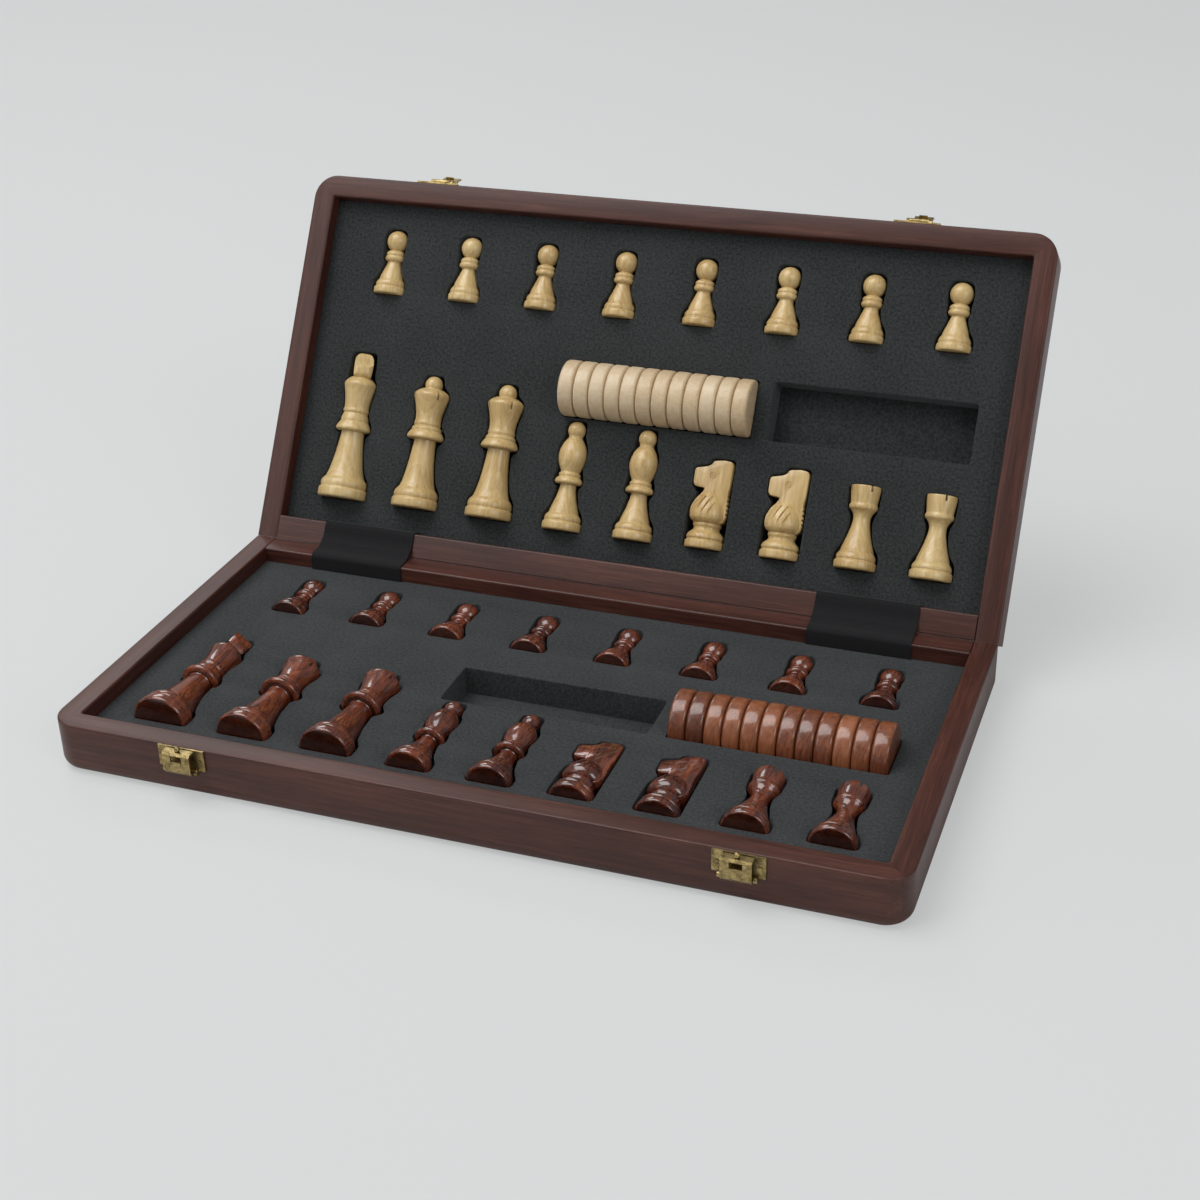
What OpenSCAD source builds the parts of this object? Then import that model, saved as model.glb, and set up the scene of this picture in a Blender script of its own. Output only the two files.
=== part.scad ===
// Folding board-game case: two shallow wooden trays hinged along one long edge.
// Shut it is a slim box; laid flat it is a square chequered board.
// Units are mm, +Z is up. The origin is the middle of the lower tray's resting face.

/* [Case] */
// Length of the case along its hinge, which is also the side of the open board
case_w = 380; // [360:5:400]
// Rim width along the front and both ends
wall = 11; // [10:0.5:13]
// Rim width on the hinge side
rail = 12; // [11.5:0.5:14]
// Thickness of a board panel with its veneer
panel_t = 3.5; // [3:0.1:5]
// Thickness of the veneer
veneer_t = 0.6; // [0.4:0.1:1]
// Radius of the rounded outer edge of the board face
nose = 5.5; // [4:0.25:6.5]
// Depth of the foam's face below the rim, for a 380 mm case
recess_380 = 7.5; // [7.4:0.1:9]
// Angle between the trays at rest, 0 is shut and 180 is flat
open_deg = 122; // [95:1:150]

/* [Board] */
// Width of the veneer border between the rounded edge and the pale line
border_w = 18.3; // [14:0.1:22]
// Width of each of the two lines round the squares
line_w = 2; // [1:0.1:3]

/* [Men] */
// Size of men and draughts against the case, 1 gives a 75.5 mm king in a 380 mm case
men_size = 1; // [0.9:0.01:1]
// Clearance between a man and the edge of its pocket
pocket_gap = 0.6; // [0.4:0.05:0.9]
// Number of draughts in a roll
draughts = 12; // [8:1:12]

/* [Hardware] */
// Distance of each hinge from the middle
hinge_x = 128; // [110:1:140]
// Length of a hinge
leaf_len = 40; // [30:1:44]
// Width of the cloth strip over a hinge
strip_w = 49; // [46:1:56]
// Distance of each latch from the middle
latch_x = 123; // [100:1:140]
// Width of a latch plate
plate_w = 22; // [20:0.5:26]

/* [Hidden] */
k = case_w / 380;
ps = k * men_size;
depth = case_w / 2;
recess = recess_380 * k;
king_r = 12.75 * ps;
king_sink = 0.5 * ps;
floor_gap = 0.25;
half_h = recess + king_sink + king_r + floor_gap + panel_t;
glue = 0.03;
seam = 0.05;
rim_z = half_h - seam;
corner_r = wall + 1;
foam_z = half_h - recess;
edge = nose + border_w;
field_half = depth - edge - 2 * line_w;
sq = field_half / 4;
hinge_y = depth / 2;
tilt = 180 - open_deg;
rim_chamfer = 0.6;

// foam layout, as across-case x and distance v from the hinge
big_x = [-150, -109.5, -69, -30, 7, 43, 80.4, 117.5, 153.5] * k;
pawn_x0 = -143.5 * k;
pawn_step = 41.6 * k;
big_v = 25 * k;
bishop_v = 24.2 * k;
pawn_v = 132.5 * k;
slot_v = depth / 2;
slot_x = [9.5, 115] * k;
draught_r = 14 * ps;
draught_t = 8 * ps;
draught_pitch = draught_t + 0.05 * ps;
slot_l = 12 * draught_pitch + 1 * k;
slot_w = 2 * draught_r + 0.7 * k;

// depth of a lying man's axis below the foam's face
king_d = recess + king_sink;
bishop_d = recess + 1.5 * ps;
knight_d = half_h - panel_t - 9.8 * ps - floor_gap;
rook_d = recess + 1.7 * ps;
pawn_d = recess + 3 * ps;

// hinge
knuckle_r = 2;
pin_r = 0.8;
run = 0.05;
leaf_t = 0.9;
leaf_w = 8.5;
knuckles = 5;
screw_r = 0.8;
screw_l = 7;
strip_t = 0.8;
strip_tuck = 6;

// latch, measured out from the front face (o) and down from the rim (w)
plate_t = 0.8;
plate_h = 10;
lever_w = 13;
lever_out = 4.6;
lever_pivot_o = plate_t + 1.35;
lever_pivot_w = -10.6;
curl_r = 1.2;
latch_pin_r = 0.6;
sheet_t = 0.7;
hasp_w = 9;
hasp_pivot_o = plate_t + 1.7;
hasp_pivot_w = -6.6;
hasp_rest = 140;
nail_r = 0.5;
nail_l = 5;
wing_x = plate_w / 2 - 2.2;

wood_c = [0.30, 0.11, 0.07];
border_c = [0.38, 0.22, 0.14];
light_c = [0.86, 0.68, 0.47];
dark_c = [0.33, 0.19, 0.12];
foam_c = [0.16, 0.17, 0.17];
brass_c = [0.62, 0.52, 0.28];
box_c = [0.90, 0.76, 0.50];
red_c = [0.27, 0.08, 0.05];

// ---- helpers; s is -1 for the lower tray and 1 for the lid ----
module tray(s) {
  translate([0, hinge_y, half_h])
    rotate([s > 0 ? tilt : 0, 0, 0])
      translate([0, 0, -half_h])
        children();
}

module block(s, x0, x1, v0, v1, z0, z1) {
  translate([x0, s > 0 ? v0 : -v1, z0])
    cube([x1 - x0, v1 - v0, z1 - z0]);
}

module plate(s, pts, z0, z1) {
  translate([0, 0, z0])
    linear_extrude(z1 - z0)
      polygon([for (p = pts) [p[0], s * p[1]]]);
}

module run_x(pts, x0, x1) {
  translate([x0, 0, 0])
    rotate([90, 0, 90])
      linear_extrude(x1 - x0)
        polygon(pts);
}

module run_v(s, pts, v0, v1) {
  translate([0, s > 0 ? v1 : -v0, 0])
    rotate([90, 0, 0])
      linear_extrude(v1 - v0)
        polygon(pts);
}

// rod along x, centred on x, at distance v from the hinge and height z
module rod_x(s, x, v, z, r, l) {
  translate([x - l / 2, s * v, z])
    rotate([0, 90, 0])
      cylinder(r = r, h = l);
}

// rod along v, from v0 to v1
module rod_v(s, x, z, r, v0, v1) {
  translate([x, s > 0 ? v1 : -v0, z])
    rotate([90, 0, 0])
      cylinder(r = r, h = v1 - v0);
}

function arc(cx, cy, r, a0, a1, n) =
  [for (i = [0:n]) [cx + r * cos(a0 + (a1 - a0) * i / n), cy + r * sin(a0 + (a1 - a0) * i / n)]];

// section of a rim rail: first value runs in from the outer face, second is height
function rail_section() = concat(
  arc(nose, nose, nose, 270, 180, 6),
  [[0, rim_z - rim_chamfer], [rim_chamfer, rim_z], [wall - rim_chamfer, rim_z],
   [wall, rim_z - rim_chamfer], [wall, panel_t + glue], [nose, panel_t + glue]]
);

// one half of a rounded front corner: joint is 0 where it meets the front rail, 90 the end rail
module corner(s, sx, joint) {
  turn = (joint == 0 ? -1 : 1) * s * sx;
  translate([sx * (case_w / 2 - corner_r), s * (depth - corner_r), 0])
    rotate([0, 0, (s > 0 ? 90 : 270) - s * sx * joint])
      if (turn < 0)
        mirror([0, 1, 0])
          corner_sweep();
      else
        corner_sweep();
}

module corner_sweep() {
  rotate_extrude(angle = 44.9)
    polygon([for (p = rail_section()) [corner_r - p[0], p[1]]]);
}

module front_rail(s) {
  run_x([for (p = rail_section()) [s * (depth - p[0]), p[1]]],
        -case_w / 2 + corner_r, case_w / 2 - corner_r);
  corner(s, -1, 0);
  corner(s, 1, 0);
}

module end_rail(s, sx) {
  union() {
    run_v(s, [for (p = rail_section()) [sx * (case_w / 2 - p[0]), p[1]]], seam, depth - corner_r);
    corner(s, sx, 90);
  }
}

module nail_holes(s, z) {
  for (x = [-latch_x, latch_x], d = [-wing_x, wing_x])
    rod_v(s, x + d, z, nail_r + 0.02, depth - nail_l - 0.5, depth + 1);
}

module frame(s) {
  difference() {
    front_rail(s);
    nail_holes(s, half_h - plate_h / 2 - 1);
  }
  end_rail(s, -1);
  end_rail(s, 1);
  difference() {
    block(s, -case_w / 2 + wall + glue, case_w / 2 - wall - glue, seam, rail, panel_t + glue, rim_z);
    for (x = [-hinge_x, hinge_x]) {
      rod_x(s, x, 0, half_h, knuckle_r + 0.2, leaf_len + 0.6);
      block(s, x - leaf_len / 2 - 0.1, x + leaf_len / 2 + 0.1, -1, leaf_w + 0.1,
            rim_z - leaf_t - 0.02, rim_z + 1);
      for (d = [-leaf_len / 3, leaf_len / 3])
        translate([x + d, s * leaf_w * 0.62, rim_z - screw_l - 0.5])
          cylinder(r = screw_r + 0.02, h = screw_l + 1);
    }
  }
}

// ---- board ----
function corner_pts(t0, t1, n) =
  [for (i = [0:n]) let (t = t0 + (t1 - t0) * i / n, r = corner_r - nose - glue)
    [case_w / 2 - corner_r + r * sin(t), depth - corner_r + r * cos(t)]];

function flip(pts) = [for (i = [len(pts) - 1:-1:0]) [-pts[i][0], pts[i][1]]];

module panel(s) {
  plate(s, concat(
    [[-case_w / 2 + nose + glue, seam], [case_w / 2 - nose - glue, seam]],
    corner_pts(90, 0, 6), flip(corner_pts(90, 0, 6))),
    veneer_t, panel_t);
}

module border(s) {
  plate(s, concat(
    corner_pts(44.8, 0, 4), flip(corner_pts(44.8, 0, 4)),
    [[-case_w / 2 + edge, depth - edge], [case_w / 2 - edge, depth - edge]]),
    0, veneer_t);
  for (sx = [-1, 1])
    plate(s, [for (p = concat(
      [[case_w / 2 - edge, seam], [case_w / 2 - nose - glue, seam]],
      corner_pts(90, 45.2, 4),
      [[case_w / 2 - edge, depth - edge - 0.06]])) [sx * p[0], p[1]]],
      0, veneer_t);
}

module line(s, off) {
  g = glue / 2;
  o = case_w / 2 - off - g;
  i = case_w / 2 - off - line_w + g;
  f = depth - off;
  plate(s, [[-o, f - g], [o, f - g], [o - line_w + 2 * g, f - line_w + g],
            [-o + line_w - 2 * g, f - line_w + g]], 0, veneer_t);
  for (sx = [-1, 1])
    plate(s, [[sx * o, seam], [sx * o, f - g - 0.1], [sx * i, f - line_w + g - 0.1], [sx * i, seam]],
          0, veneer_t);
}

module squares(s, odd) {
  for (c = [0:7], r = [0:3])
    if ((c + r + odd) % 2 == 0)
      block(s, (c - 4) * sq + glue, (c - 3) * sq - glue,
            r == 0 ? seam : r * sq + glue, (r + 1) * sq - glue, 0, veneer_t);
}

module light_inlay(s) {
  squares(s, s > 0 ? 1 : 0);
  line(s, edge);
}

module dark_inlay(s) {
  squares(s, s > 0 ? 0 : 1);
  line(s, edge + line_w);
}

// ---- men, standing upright on z = 0 ----
king_p = [
  [0, 0], [12.1, 0], [12.75, 0.9], [12.75, 4.3], [12.3, 5], [11.7, 5.35], [12, 6], [12.15, 7.3],
  [11.8, 8.7], [10.9, 9.9], [10, 10.8], [9.1, 13.6], [8.1, 18], [7.2, 23], [6.5, 28], [6, 32],
  [5.8, 34.3], [8.7, 35], [9.4, 35.8], [9.4, 36.9], [8.7, 37.8], [7.3, 38.4], [7.9, 39.2],
  [7.8, 40.2], [6.7, 40.9], [6.1, 42.4], [5.9, 44.4], [6.65, 45.3], [6.65, 46.2], [6.1, 47],
  [6.4, 50], [7.1, 54], [8.1, 57.6], [8.55, 58.9], [8.3, 59.8], [6.3, 61.5], [4.3, 62.8], [0, 63.4]
];
queen_p = [
  [0, 0], [11.4, 0], [12, 0.8], [12, 4.1], [11.5, 4.8], [11, 5.1], [11.3, 5.8], [11.4, 7],
  [11, 8.4], [10.1, 9.6], [9.3, 10.4], [8.4, 13.2], [7.5, 17.6], [6.7, 22.6], [6.1, 28],
  [5.7, 32.5], [5.6, 35], [9.2, 35.7], [10.05, 36.6], [10.05, 37.7], [9.2, 38.6], [7.4, 39.2],
  [7.9, 40], [7.7, 41], [6.5, 41.6], [6, 42.8], [6.2, 44.2], [6.2, 46], [6.8, 50], [7.9, 54],
  [9.1, 56.6], [9.3, 57.4], [8.4, 58.2], [6.3, 58.2], [6.15, 58.9], [5, 59.8], [3.2, 60.4]
];
bishop_p = [
  [0, 0], [9.5, 0], [10, 0.8], [10, 3.5], [9.5, 4.2], [9, 4.5], [9.3, 5.2], [9.3, 6.2],
  [8.7, 7.4], [7.6, 8.4], [6.8, 9.6], [5.8, 12.4], [4.9, 16], [4.1, 20], [3.8, 23], [6.6, 23.7],
  [7.3, 24.4], [7.3, 25.3], [6.5, 26.1], [5.1, 26.6], [5.6, 27.5], [5.4, 28.5], [4.4, 29.2],
  [4.3, 30.8], [5, 33], [6.3, 36], [7.1, 38.8], [7.1, 40.6], [6.4, 43], [5, 45], [3.6, 46.2]
];
rook_p = [
  [0, 0], [9.6, 0], [10.15, 0.8], [10.15, 3.5], [9.6, 4.2], [9.1, 4.5], [9.5, 5.2], [9.4, 6.2],
  [8.7, 7.4], [7.7, 8.4], [6.9, 9.8], [5.8, 13], [4.9, 17], [4.2, 21], [3.95, 23.4], [4.1, 25],
  [4.6, 26.6], [5.7, 28.2], [6.7, 29], [6.9, 29.6], [6.9, 30.6], [6.4, 31.3], [6.5, 32.4],
  [6.9, 35.6], [7.25, 39.3], [7, 40], [5.1, 40], [4.9, 36], [0, 36]
];
pawn_p = [
  [0, 0], [8, 0], [8.5, 0.7], [8.5, 3.1], [8, 3.7], [7.6, 3.9], [7.9, 4.6], [7.8, 5.5],
  [7.1, 6.7], [6.2, 7.7], [5.4, 9.6], [4.5, 12.4], [3.7, 15.4], [3.25, 17.8], [4.8, 18.3],
  [5.4, 18.9], [5.4, 19.5], [4.8, 20.2], [3.6, 20.8], [3.2, 21.8], [3.2, 23]
];
knight_p = [
  [0, 0], [9.3, 0], [9.8, 0.8], [9.8, 3.4], [9.2, 4.1], [8.8, 4.4], [9.3, 5], [9.4, 5.8],
  [8.7, 7.2], [7.4, 8.4], [6.5, 9.2], [6.4, 10.4], [7, 11.2], [7.05, 12.2], [6.6, 13], [0, 13]
];
knight_chest = [[0, 12.6], [6.6, 12.6], [8.4, 13.4], [9.3, 15], [9.4, 16.8], [9, 19.4],
                [8, 22.2], [6.4, 25], [4.6, 27.4], [3.6, 28.6], [0, 28.6]];
knight_head = [
  [-6.6, 12.6], [-8.5, 14.6], [-9, 17.4], [-8.7, 20.2], [-7, 23.9], [-4.6, 26.6], [-3.3, 28.6],
  [-3.5, 29.5], [-8.2, 29.8], [-9.4, 31.4], [-9.5, 37.6], [-8.9, 38.9], [-3, 40.2], [-1.2, 41.4],
  [-0.6, 43], [4.7, 43.8], [8.7, 43.3], [9.6, 41.4], [9.4, 30.5], [8.9, 28.2], [9.7, 20],
  [9.6, 16.4], [8.5, 13.6], [6.6, 12.6]
];

module turned(pts) {
  rotate_extrude()
    polygon(pts);
}

module ball(h, r, a0) {
  rotate_extrude()
    polygon(concat([[0, h - r * 0.8]], arc(0, h, r, a0, 90, 9)));
}

// a closed outline from its right-hand half
function both(half) = concat(half, [for (i = [len(half) - 1:-1:0]) [-half[i][0], half[i][1]]]);

// the finial is a stepped block, broad seen from one side and narrow from the other
module king() {
  turned(king_p);
  intersection() {
    run_x(both([[4.4, 62.6], [6.3, 64], [6.6, 66.4], [6.2, 68.6], [4.9, 69.5], [4.7, 70.6],
                [4.6, 72.8], [3.6, 74.6], [1.8, 75.5]]), -6, 6);
    rotate([90, 0, 0])
      translate([0, 0, -8])
        linear_extrude(16)
          polygon(both([[4.2, 62.6], [4.7, 65], [4.8, 71.5], [4.2, 73.6], [2.6, 75.2], [1.5, 75.5]]));
  }
}

module queen() {
  difference() {
    turned(concat(queen_p, arc(0, 63.5, 4.5, -45, 90, 8)));
    for (a = [0:45:315])
      rotate([0, 0, a])
        translate([6.9, 0, 58.3])
          rotate([0, 90, 0])
            cylinder(r = 0.95, h = 4);
  }
}

module bishop() {
  difference() {
    turned(concat(bishop_p, arc(0, 50.3, 4.5, -38, 90, 8)));
    translate([-9, -10.2, 40.8])
      rotate([-38, 0, 0])
        cube([18, 9, 1.2]);
  }
}

module rook() {
  difference() {
    turned(rook_p);
    for (a = [45, 135])
      rotate([0, 0, a])
        translate([-9, -0.8, 37])
          cube([18, 1.6, 4]);
  }
}

module pawn() {
  turned(concat(pawn_p, arc(0, 27.9, 5.6, -55, 90, 8)));
}

module knight_slab(t) {
  rotate([90, 0, 0])
    translate([0, 0, -t / 2])
      linear_extrude(t)
        polygon(knight_head);
}

// turned foot, round chest and a flat head with ringed eyes and a notched mane
module knight() {
  turned(knight_p);
  difference() {
    union() {
      knight_slab(8);
      intersection() {
        knight_slab(20);
        turned(knight_chest);
      }
    }
    for (y = [-4.4, 3.4])
      translate([0.2, y, 35.8])
        rotate([-90, 0, 0]) {
          difference() {
            cylinder(r = 1.7, h = 1);
            cylinder(r = 1.1, h = 1);
          }
          cylinder(r = 0.45, h = 1);
        }
    for (i = [0:4])
      translate([9.1 - 0.08 * i, -11, 17.6 + 2.2 * i])
        rotate([0, 35, 0])
          cube([2.4, 22, 0.6]);
  }
}

// a man lying in tray s with its base v from the hinge and its axis d below the rim
module lay(s, x, v, d) {
  tray(s)
    translate([x, s * (s > 0 ? v : depth - v), half_h - d])
      rotate([-90, 0, 0])
        scale([ps, ps, ps])
          children();
}

module men_king(s) {
  lay(s, big_x[0], big_v, king_d) king();
}

module men_queen(s, i) {
  lay(s, big_x[i], big_v, king_d) queen();
}

module men_bishop(s, i) {
  lay(s, big_x[i + 2], bishop_v, bishop_d) bishop();
}

module men_knight(s, i) {
  lay(s, big_x[i + 4], big_v, knight_d) knight();
}

module men_rook(s, i) {
  lay(s, big_x[i + 6], big_v, rook_d) rook();
}

module men_pawn(s, i) {
  lay(s, pawn_x0 + pawn_step * (i - 1), pawn_v, pawn_d) pawn();
}

module roll(s) {
  x = s > 0 ? slot_x[0] : slot_x[1];
  tray(s)
    for (i = [0:draughts - 1])
      translate([x + (i - draughts / 2) * draught_pitch + 0.025 * ps, s * slot_v,
                 panel_t + 0.1 + draught_r])
        rotate([0, 90, 0])
          rotate_extrude()
            polygon([[0, 0], [draught_r - 1.1 * ps, 0], [draught_r, 1.1 * ps],
                     [draught_r, draught_t - 1.1 * ps], [draught_r - 1.1 * ps, draught_t],
                     [0, draught_t]]);
}

// ---- foam ----
// half outline of each pocket as [height along the man, half width]
king_o = [[0, 12.8], [9.4, 12.8], [12.4, 10.2], [23, 7.6], [33.4, 7], [34.4, 9.6], [39, 9.4],
          [42, 7], [50, 7], [56.6, 8.7], [60.4, 8.7], [63.6, 5], [75.5, 4.6]];
queen_o = [[0, 12.1], [9, 12.1], [12.2, 9.4], [22, 7.2], [33.6, 6.6], [35.2, 10.2], [39, 10.2],
           [41.6, 7], [48, 7.2], [55.6, 9.4], [58.6, 9.4], [60.6, 5.2], [68, 4.8]];
bishop_o = [[0, 10.1], [7.8, 10.1], [11.4, 7], [21.6, 5], [23, 7.4], [27.6, 7.2], [31, 5.8],
            [37, 7.2], [42.4, 7.2], [46.4, 5], [54.8, 4.8]];
rook_o = [[0, 10.2], [7.8, 10.2], [11.6, 7], [20, 5], [25.4, 5.2], [28.6, 7], [40, 7.4]];
pawn_o = [[0, 8.6], [6.6, 8.6], [9.6, 6], [16.4, 4.2], [18, 5.5], [21.6, 5.2], [24.6, 5.8],
          [30.6, 5.8], [33.5, 4.2]];

module pocket(s, x, v, d, r, half) {
  n = len(half) - 1;
  g = pocket_gap;
  y0 = s * (s > 0 ? v : depth - v);
  pts = [for (i = [0:n])
    [half[i][1] * ps + g, half[i][0] * ps + (i == 0 ? -g : i == n ? g : 0)]];
  translate([x, y0, half_h - d - r * ps - floor_gap])
    linear_extrude(half_h)
      polygon(concat(pts, [for (i = [n:-1:0]) [-pts[i][0], pts[i][1]]]));
}

module knight_pocket(s, x) {
  g = pocket_gap;
  translate([x, s * (s > 0 ? big_v : depth - big_v), panel_t - 1])
    linear_extrude(half_h)
      polygon([
        [-9.8 * ps - g, -g], [9.8 * ps + g, -g], [9.8 * ps + g, 44 * ps + g],
        [-1.6 * ps - g, 44 * ps + g], [-1.8 * ps - g, 41 * ps + g], [-9.6 * ps - g, 39.4 * ps + g],
        [-9.6 * ps - g, 29.4 * ps - g], [-6.2 * ps - g, 26.4 * ps], [-9.2 * ps - g, 20.6 * ps],
        [-9.8 * ps - g, 12 * ps]]);
}

module foam(s) {
  a = case_w / 2 - wall - 0.1;
  f = depth - wall - 0.1;
  color(foam_c)
  difference() {
    plate(s, [[-a, rail + 0.1], [a, rail + 0.1], [a, f - 0.7], [a - 0.7, f], [0.7 - a, f],
              [-a, f - 0.7]], panel_t + glue, foam_z);
    pocket(s, big_x[0], big_v, king_d, 12.9, king_o);
    for (i = [1, 2])
      pocket(s, big_x[i], big_v, king_d, 12, queen_o);
    for (i = [3, 4])
      pocket(s, big_x[i], bishop_v, bishop_d, 10, bishop_o);
    for (i = [5, 6])
      knight_pocket(s, big_x[i]);
    for (i = [7, 8])
      pocket(s, big_x[i], big_v, rook_d, 10.15, rook_o);
    for (i = [0:7])
      pocket(s, pawn_x0 + pawn_step * i, pawn_v, pawn_d, 8.5, pawn_o);
    for (x = slot_x)
      block(s, x - slot_l / 2, x + slot_l / 2, slot_v - slot_w / 2, slot_v + slot_w / 2, 0, half_h);
    for (x = [-hinge_x, hinge_x])
      block(s, x - strip_w / 2 - 0.3, x + strip_w / 2 + 0.3, rail, rail + strip_t + 0.3,
            foam_z - strip_tuck - 0.4, half_h);
  }
}

// ---- hinges ----
seg = leaf_len / knuckles;

module leaves(s) {
  for (x = [-hinge_x, hinge_x])
    difference() {
      union() {
        for (i = [(s < 0 ? 0 : 1):2:knuckles - 1]) {
          x0 = x - leaf_len / 2 + i * seg + run;
          rod_x(s, x0 + seg / 2 - run, 0, half_h, knuckle_r, seg - 2 * run);
          block(s, x0, x0 + seg - 2 * run, 0, knuckle_r + 1, rim_z - leaf_t, rim_z);
        }
        block(s, x - leaf_len / 2, x + leaf_len / 2, knuckle_r + 0.35, leaf_w,
              rim_z - leaf_t, rim_z);
      }
      rod_x(s, x, 0, half_h, pin_r + run, leaf_len + 2);
      for (d = [-leaf_len / 3, leaf_len / 3])
        translate([x + d, s * leaf_w * 0.62, half_h - 3])
          cylinder(r = screw_r + 0.02, h = 4);
    }
}

module pins() {
  for (x = [-hinge_x, hinge_x])
    rod_x(-1, x, 0, half_h, pin_r, leaf_len);
}

module leaf_screws(s) {
  for (x = [-hinge_x, hinge_x], d = [-leaf_len / 3, leaf_len / 3])
    translate([x + d, s * leaf_w * 0.62, rim_z - screw_l])
      cylinder(r = screw_r, h = screw_l);
}

// cloth strip, tucked between foam and rail in one tray, over rims and knuckle, and so in the other
function strip_half(t) = [
  [-rail - 0.1 - t, -recess - strip_tuck], [-rail - 0.1 - t, 0.05 + t], [-4.2 - 0.3 * t, 0.05 + t]
];

function strip_pts(t) = concat(
  strip_half(t),
  arc(0, 0, knuckle_r + 0.15 + t, 135, tilt + 45, 4),
  [for (i = [2:-1:0]) let (p = strip_half(t)[i])
    [-p[0] * cos(tilt) - p[1] * sin(tilt), -p[0] * sin(tilt) + p[1] * cos(tilt)]]
);

module strips() {
  low = strip_pts(0);
  top = strip_pts(strip_t);
  for (x = [-hinge_x, hinge_x])
    translate([0, hinge_y, half_h])
      run_x(concat(low, [for (i = [len(top) - 1:-1:0]) top[i]]), x - strip_w / 2, x + strip_w / 2);
}

// ---- latches; children of front() use o outward and w up from the rim ----
module outline_x(s, pts, x0, x1) {
  run_x([for (p = pts) [s * (depth + p[0]), half_h + p[1]]], x0, x1);
}

module fixed_plate(s, x, drop) {
  outline_x(s, [[0.02, -plate_h - drop], [0.02 + plate_t, -plate_h - drop],
                [0.02 + plate_t, -drop], [0.02, -drop]], x - plate_w / 2, x + plate_w / 2);
}

module nail(s, x) {
  rod_v(s, x, half_h - plate_h / 2 - 1, nail_r, depth - nail_l, depth + plate_t + 0.3);
  rod_v(s, x, half_h - plate_h / 2 - 1, 1.1, depth + plate_t + 0.04, depth + plate_t + 0.5);
}

module barrel(s, x0, x1, o, w, r) {
  rod_x(s, (x0 + x1) / 2, depth + o, half_h + w, r, x1 - x0);
}

module latch_plate(x) {
  s = -1;
  difference() {
    union() {
      fixed_plate(s, x, 0.4);
      for (d = [-1, 1])
        barrel(s, x + d * (lever_w / 2 + 0.1) - (d < 0 ? 1.6 : 0),
               x + d * (lever_w / 2 + 0.1) + (d > 0 ? 1.6 : 0), lever_pivot_o, lever_pivot_w, curl_r);
      for (d = [-1, 1])
        outline_x(s, [[0.02, -plate_h - 0.4], [0.02, -plate_h - 1.4], [lever_pivot_o, -plate_h - 1.4],
                      [lever_pivot_o, -plate_h + 0.6], [0.4, -plate_h + 0.6]],
                  x + d * (lever_w / 2 + 0.1) - (d < 0 ? 1.6 : 0),
                  x + d * (lever_w / 2 + 0.1) + (d > 0 ? 1.6 : 0));
    }
    barrel(s, x - lever_w, x + lever_w, lever_pivot_o, lever_pivot_w, latch_pin_r + 0.02);
    for (d = [-wing_x, wing_x])
      rod_v(s, x + d, half_h - plate_h / 2 - 1, nail_r + 0.02, depth - 1, depth + 3);
  }
  barrel(s, x - lever_w / 2 - 1.7, x + lever_w / 2 + 1.7, lever_pivot_o, lever_pivot_w, latch_pin_r);
  nail(s, x - wing_x);
  nail(s, x + wing_x);
}

module lever(x) {
  s = -1;
  p = lever_pivot_o;
  q = lever_pivot_w;
  o = plate_t + lever_out;
  color(brass_c)
  tray(s) {
    difference() {
      union() {
        barrel(s, x - lever_w / 2, x + lever_w / 2, p, q, curl_r);
        outline_x(s, [
          [p, q - curl_r], [p + 1.4, q - curl_r], [o, q + 0.9], [o, -1.6], [o - 0.9, -0.7],
          [plate_t + 0.4, -0.7], [plate_t + 0.4, -0.7 - sheet_t], [o - 0.9, -0.7 - sheet_t],
          [o - sheet_t, -1.9], [o - sheet_t, q + 1.2], [p + 1.1, q - curl_r + sheet_t],
          [p, q - curl_r + sheet_t]], x - lever_w / 2, x + lever_w / 2);
      }
      barrel(s, x - lever_w, x + lever_w, p, q, latch_pin_r + run);
      translate([x - 2.7, -(depth + o + 1), half_h - 4.8])
        cube([5.4, 1 + sheet_t + 0.6, 2.8]);
    }
    translate([x, -(depth + plate_t + 2.3), half_h + 0.4])
      sphere(r = 1.3);
  }
}

module hasp_plate(x) {
  s = 1;
  difference() {
    union() {
      fixed_plate(s, x, 0.6);
      for (d = [-1, 1])
        outline_x(s, [[0.4, hasp_pivot_w - 1.2], [hasp_pivot_o, hasp_pivot_w - 1.2],
                      [hasp_pivot_o + 1.2, hasp_pivot_w], [hasp_pivot_o, hasp_pivot_w + 1.2],
                      [0.4, hasp_pivot_w + 2]],
                  x + d * (hasp_w / 2 + 0.1) - (d < 0 ? 1.5 : 0),
                  x + d * (hasp_w / 2 + 0.1) + (d > 0 ? 1.5 : 0));
    }
    barrel(s, x - hasp_w, x + hasp_w, hasp_pivot_o, hasp_pivot_w, latch_pin_r + 0.02);
    for (d = [-wing_x, wing_x])
      rod_v(s, x + d, half_h - plate_h / 2 - 1, nail_r + 0.02, depth - 1, depth + 3);
  }
  barrel(s, x - hasp_w / 2 - 1.7, x + hasp_w / 2 + 1.7, hasp_pivot_o, hasp_pivot_w, latch_pin_r);
  nail(s, x - wing_x);
  nail(s, x + wing_x);
}

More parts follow.
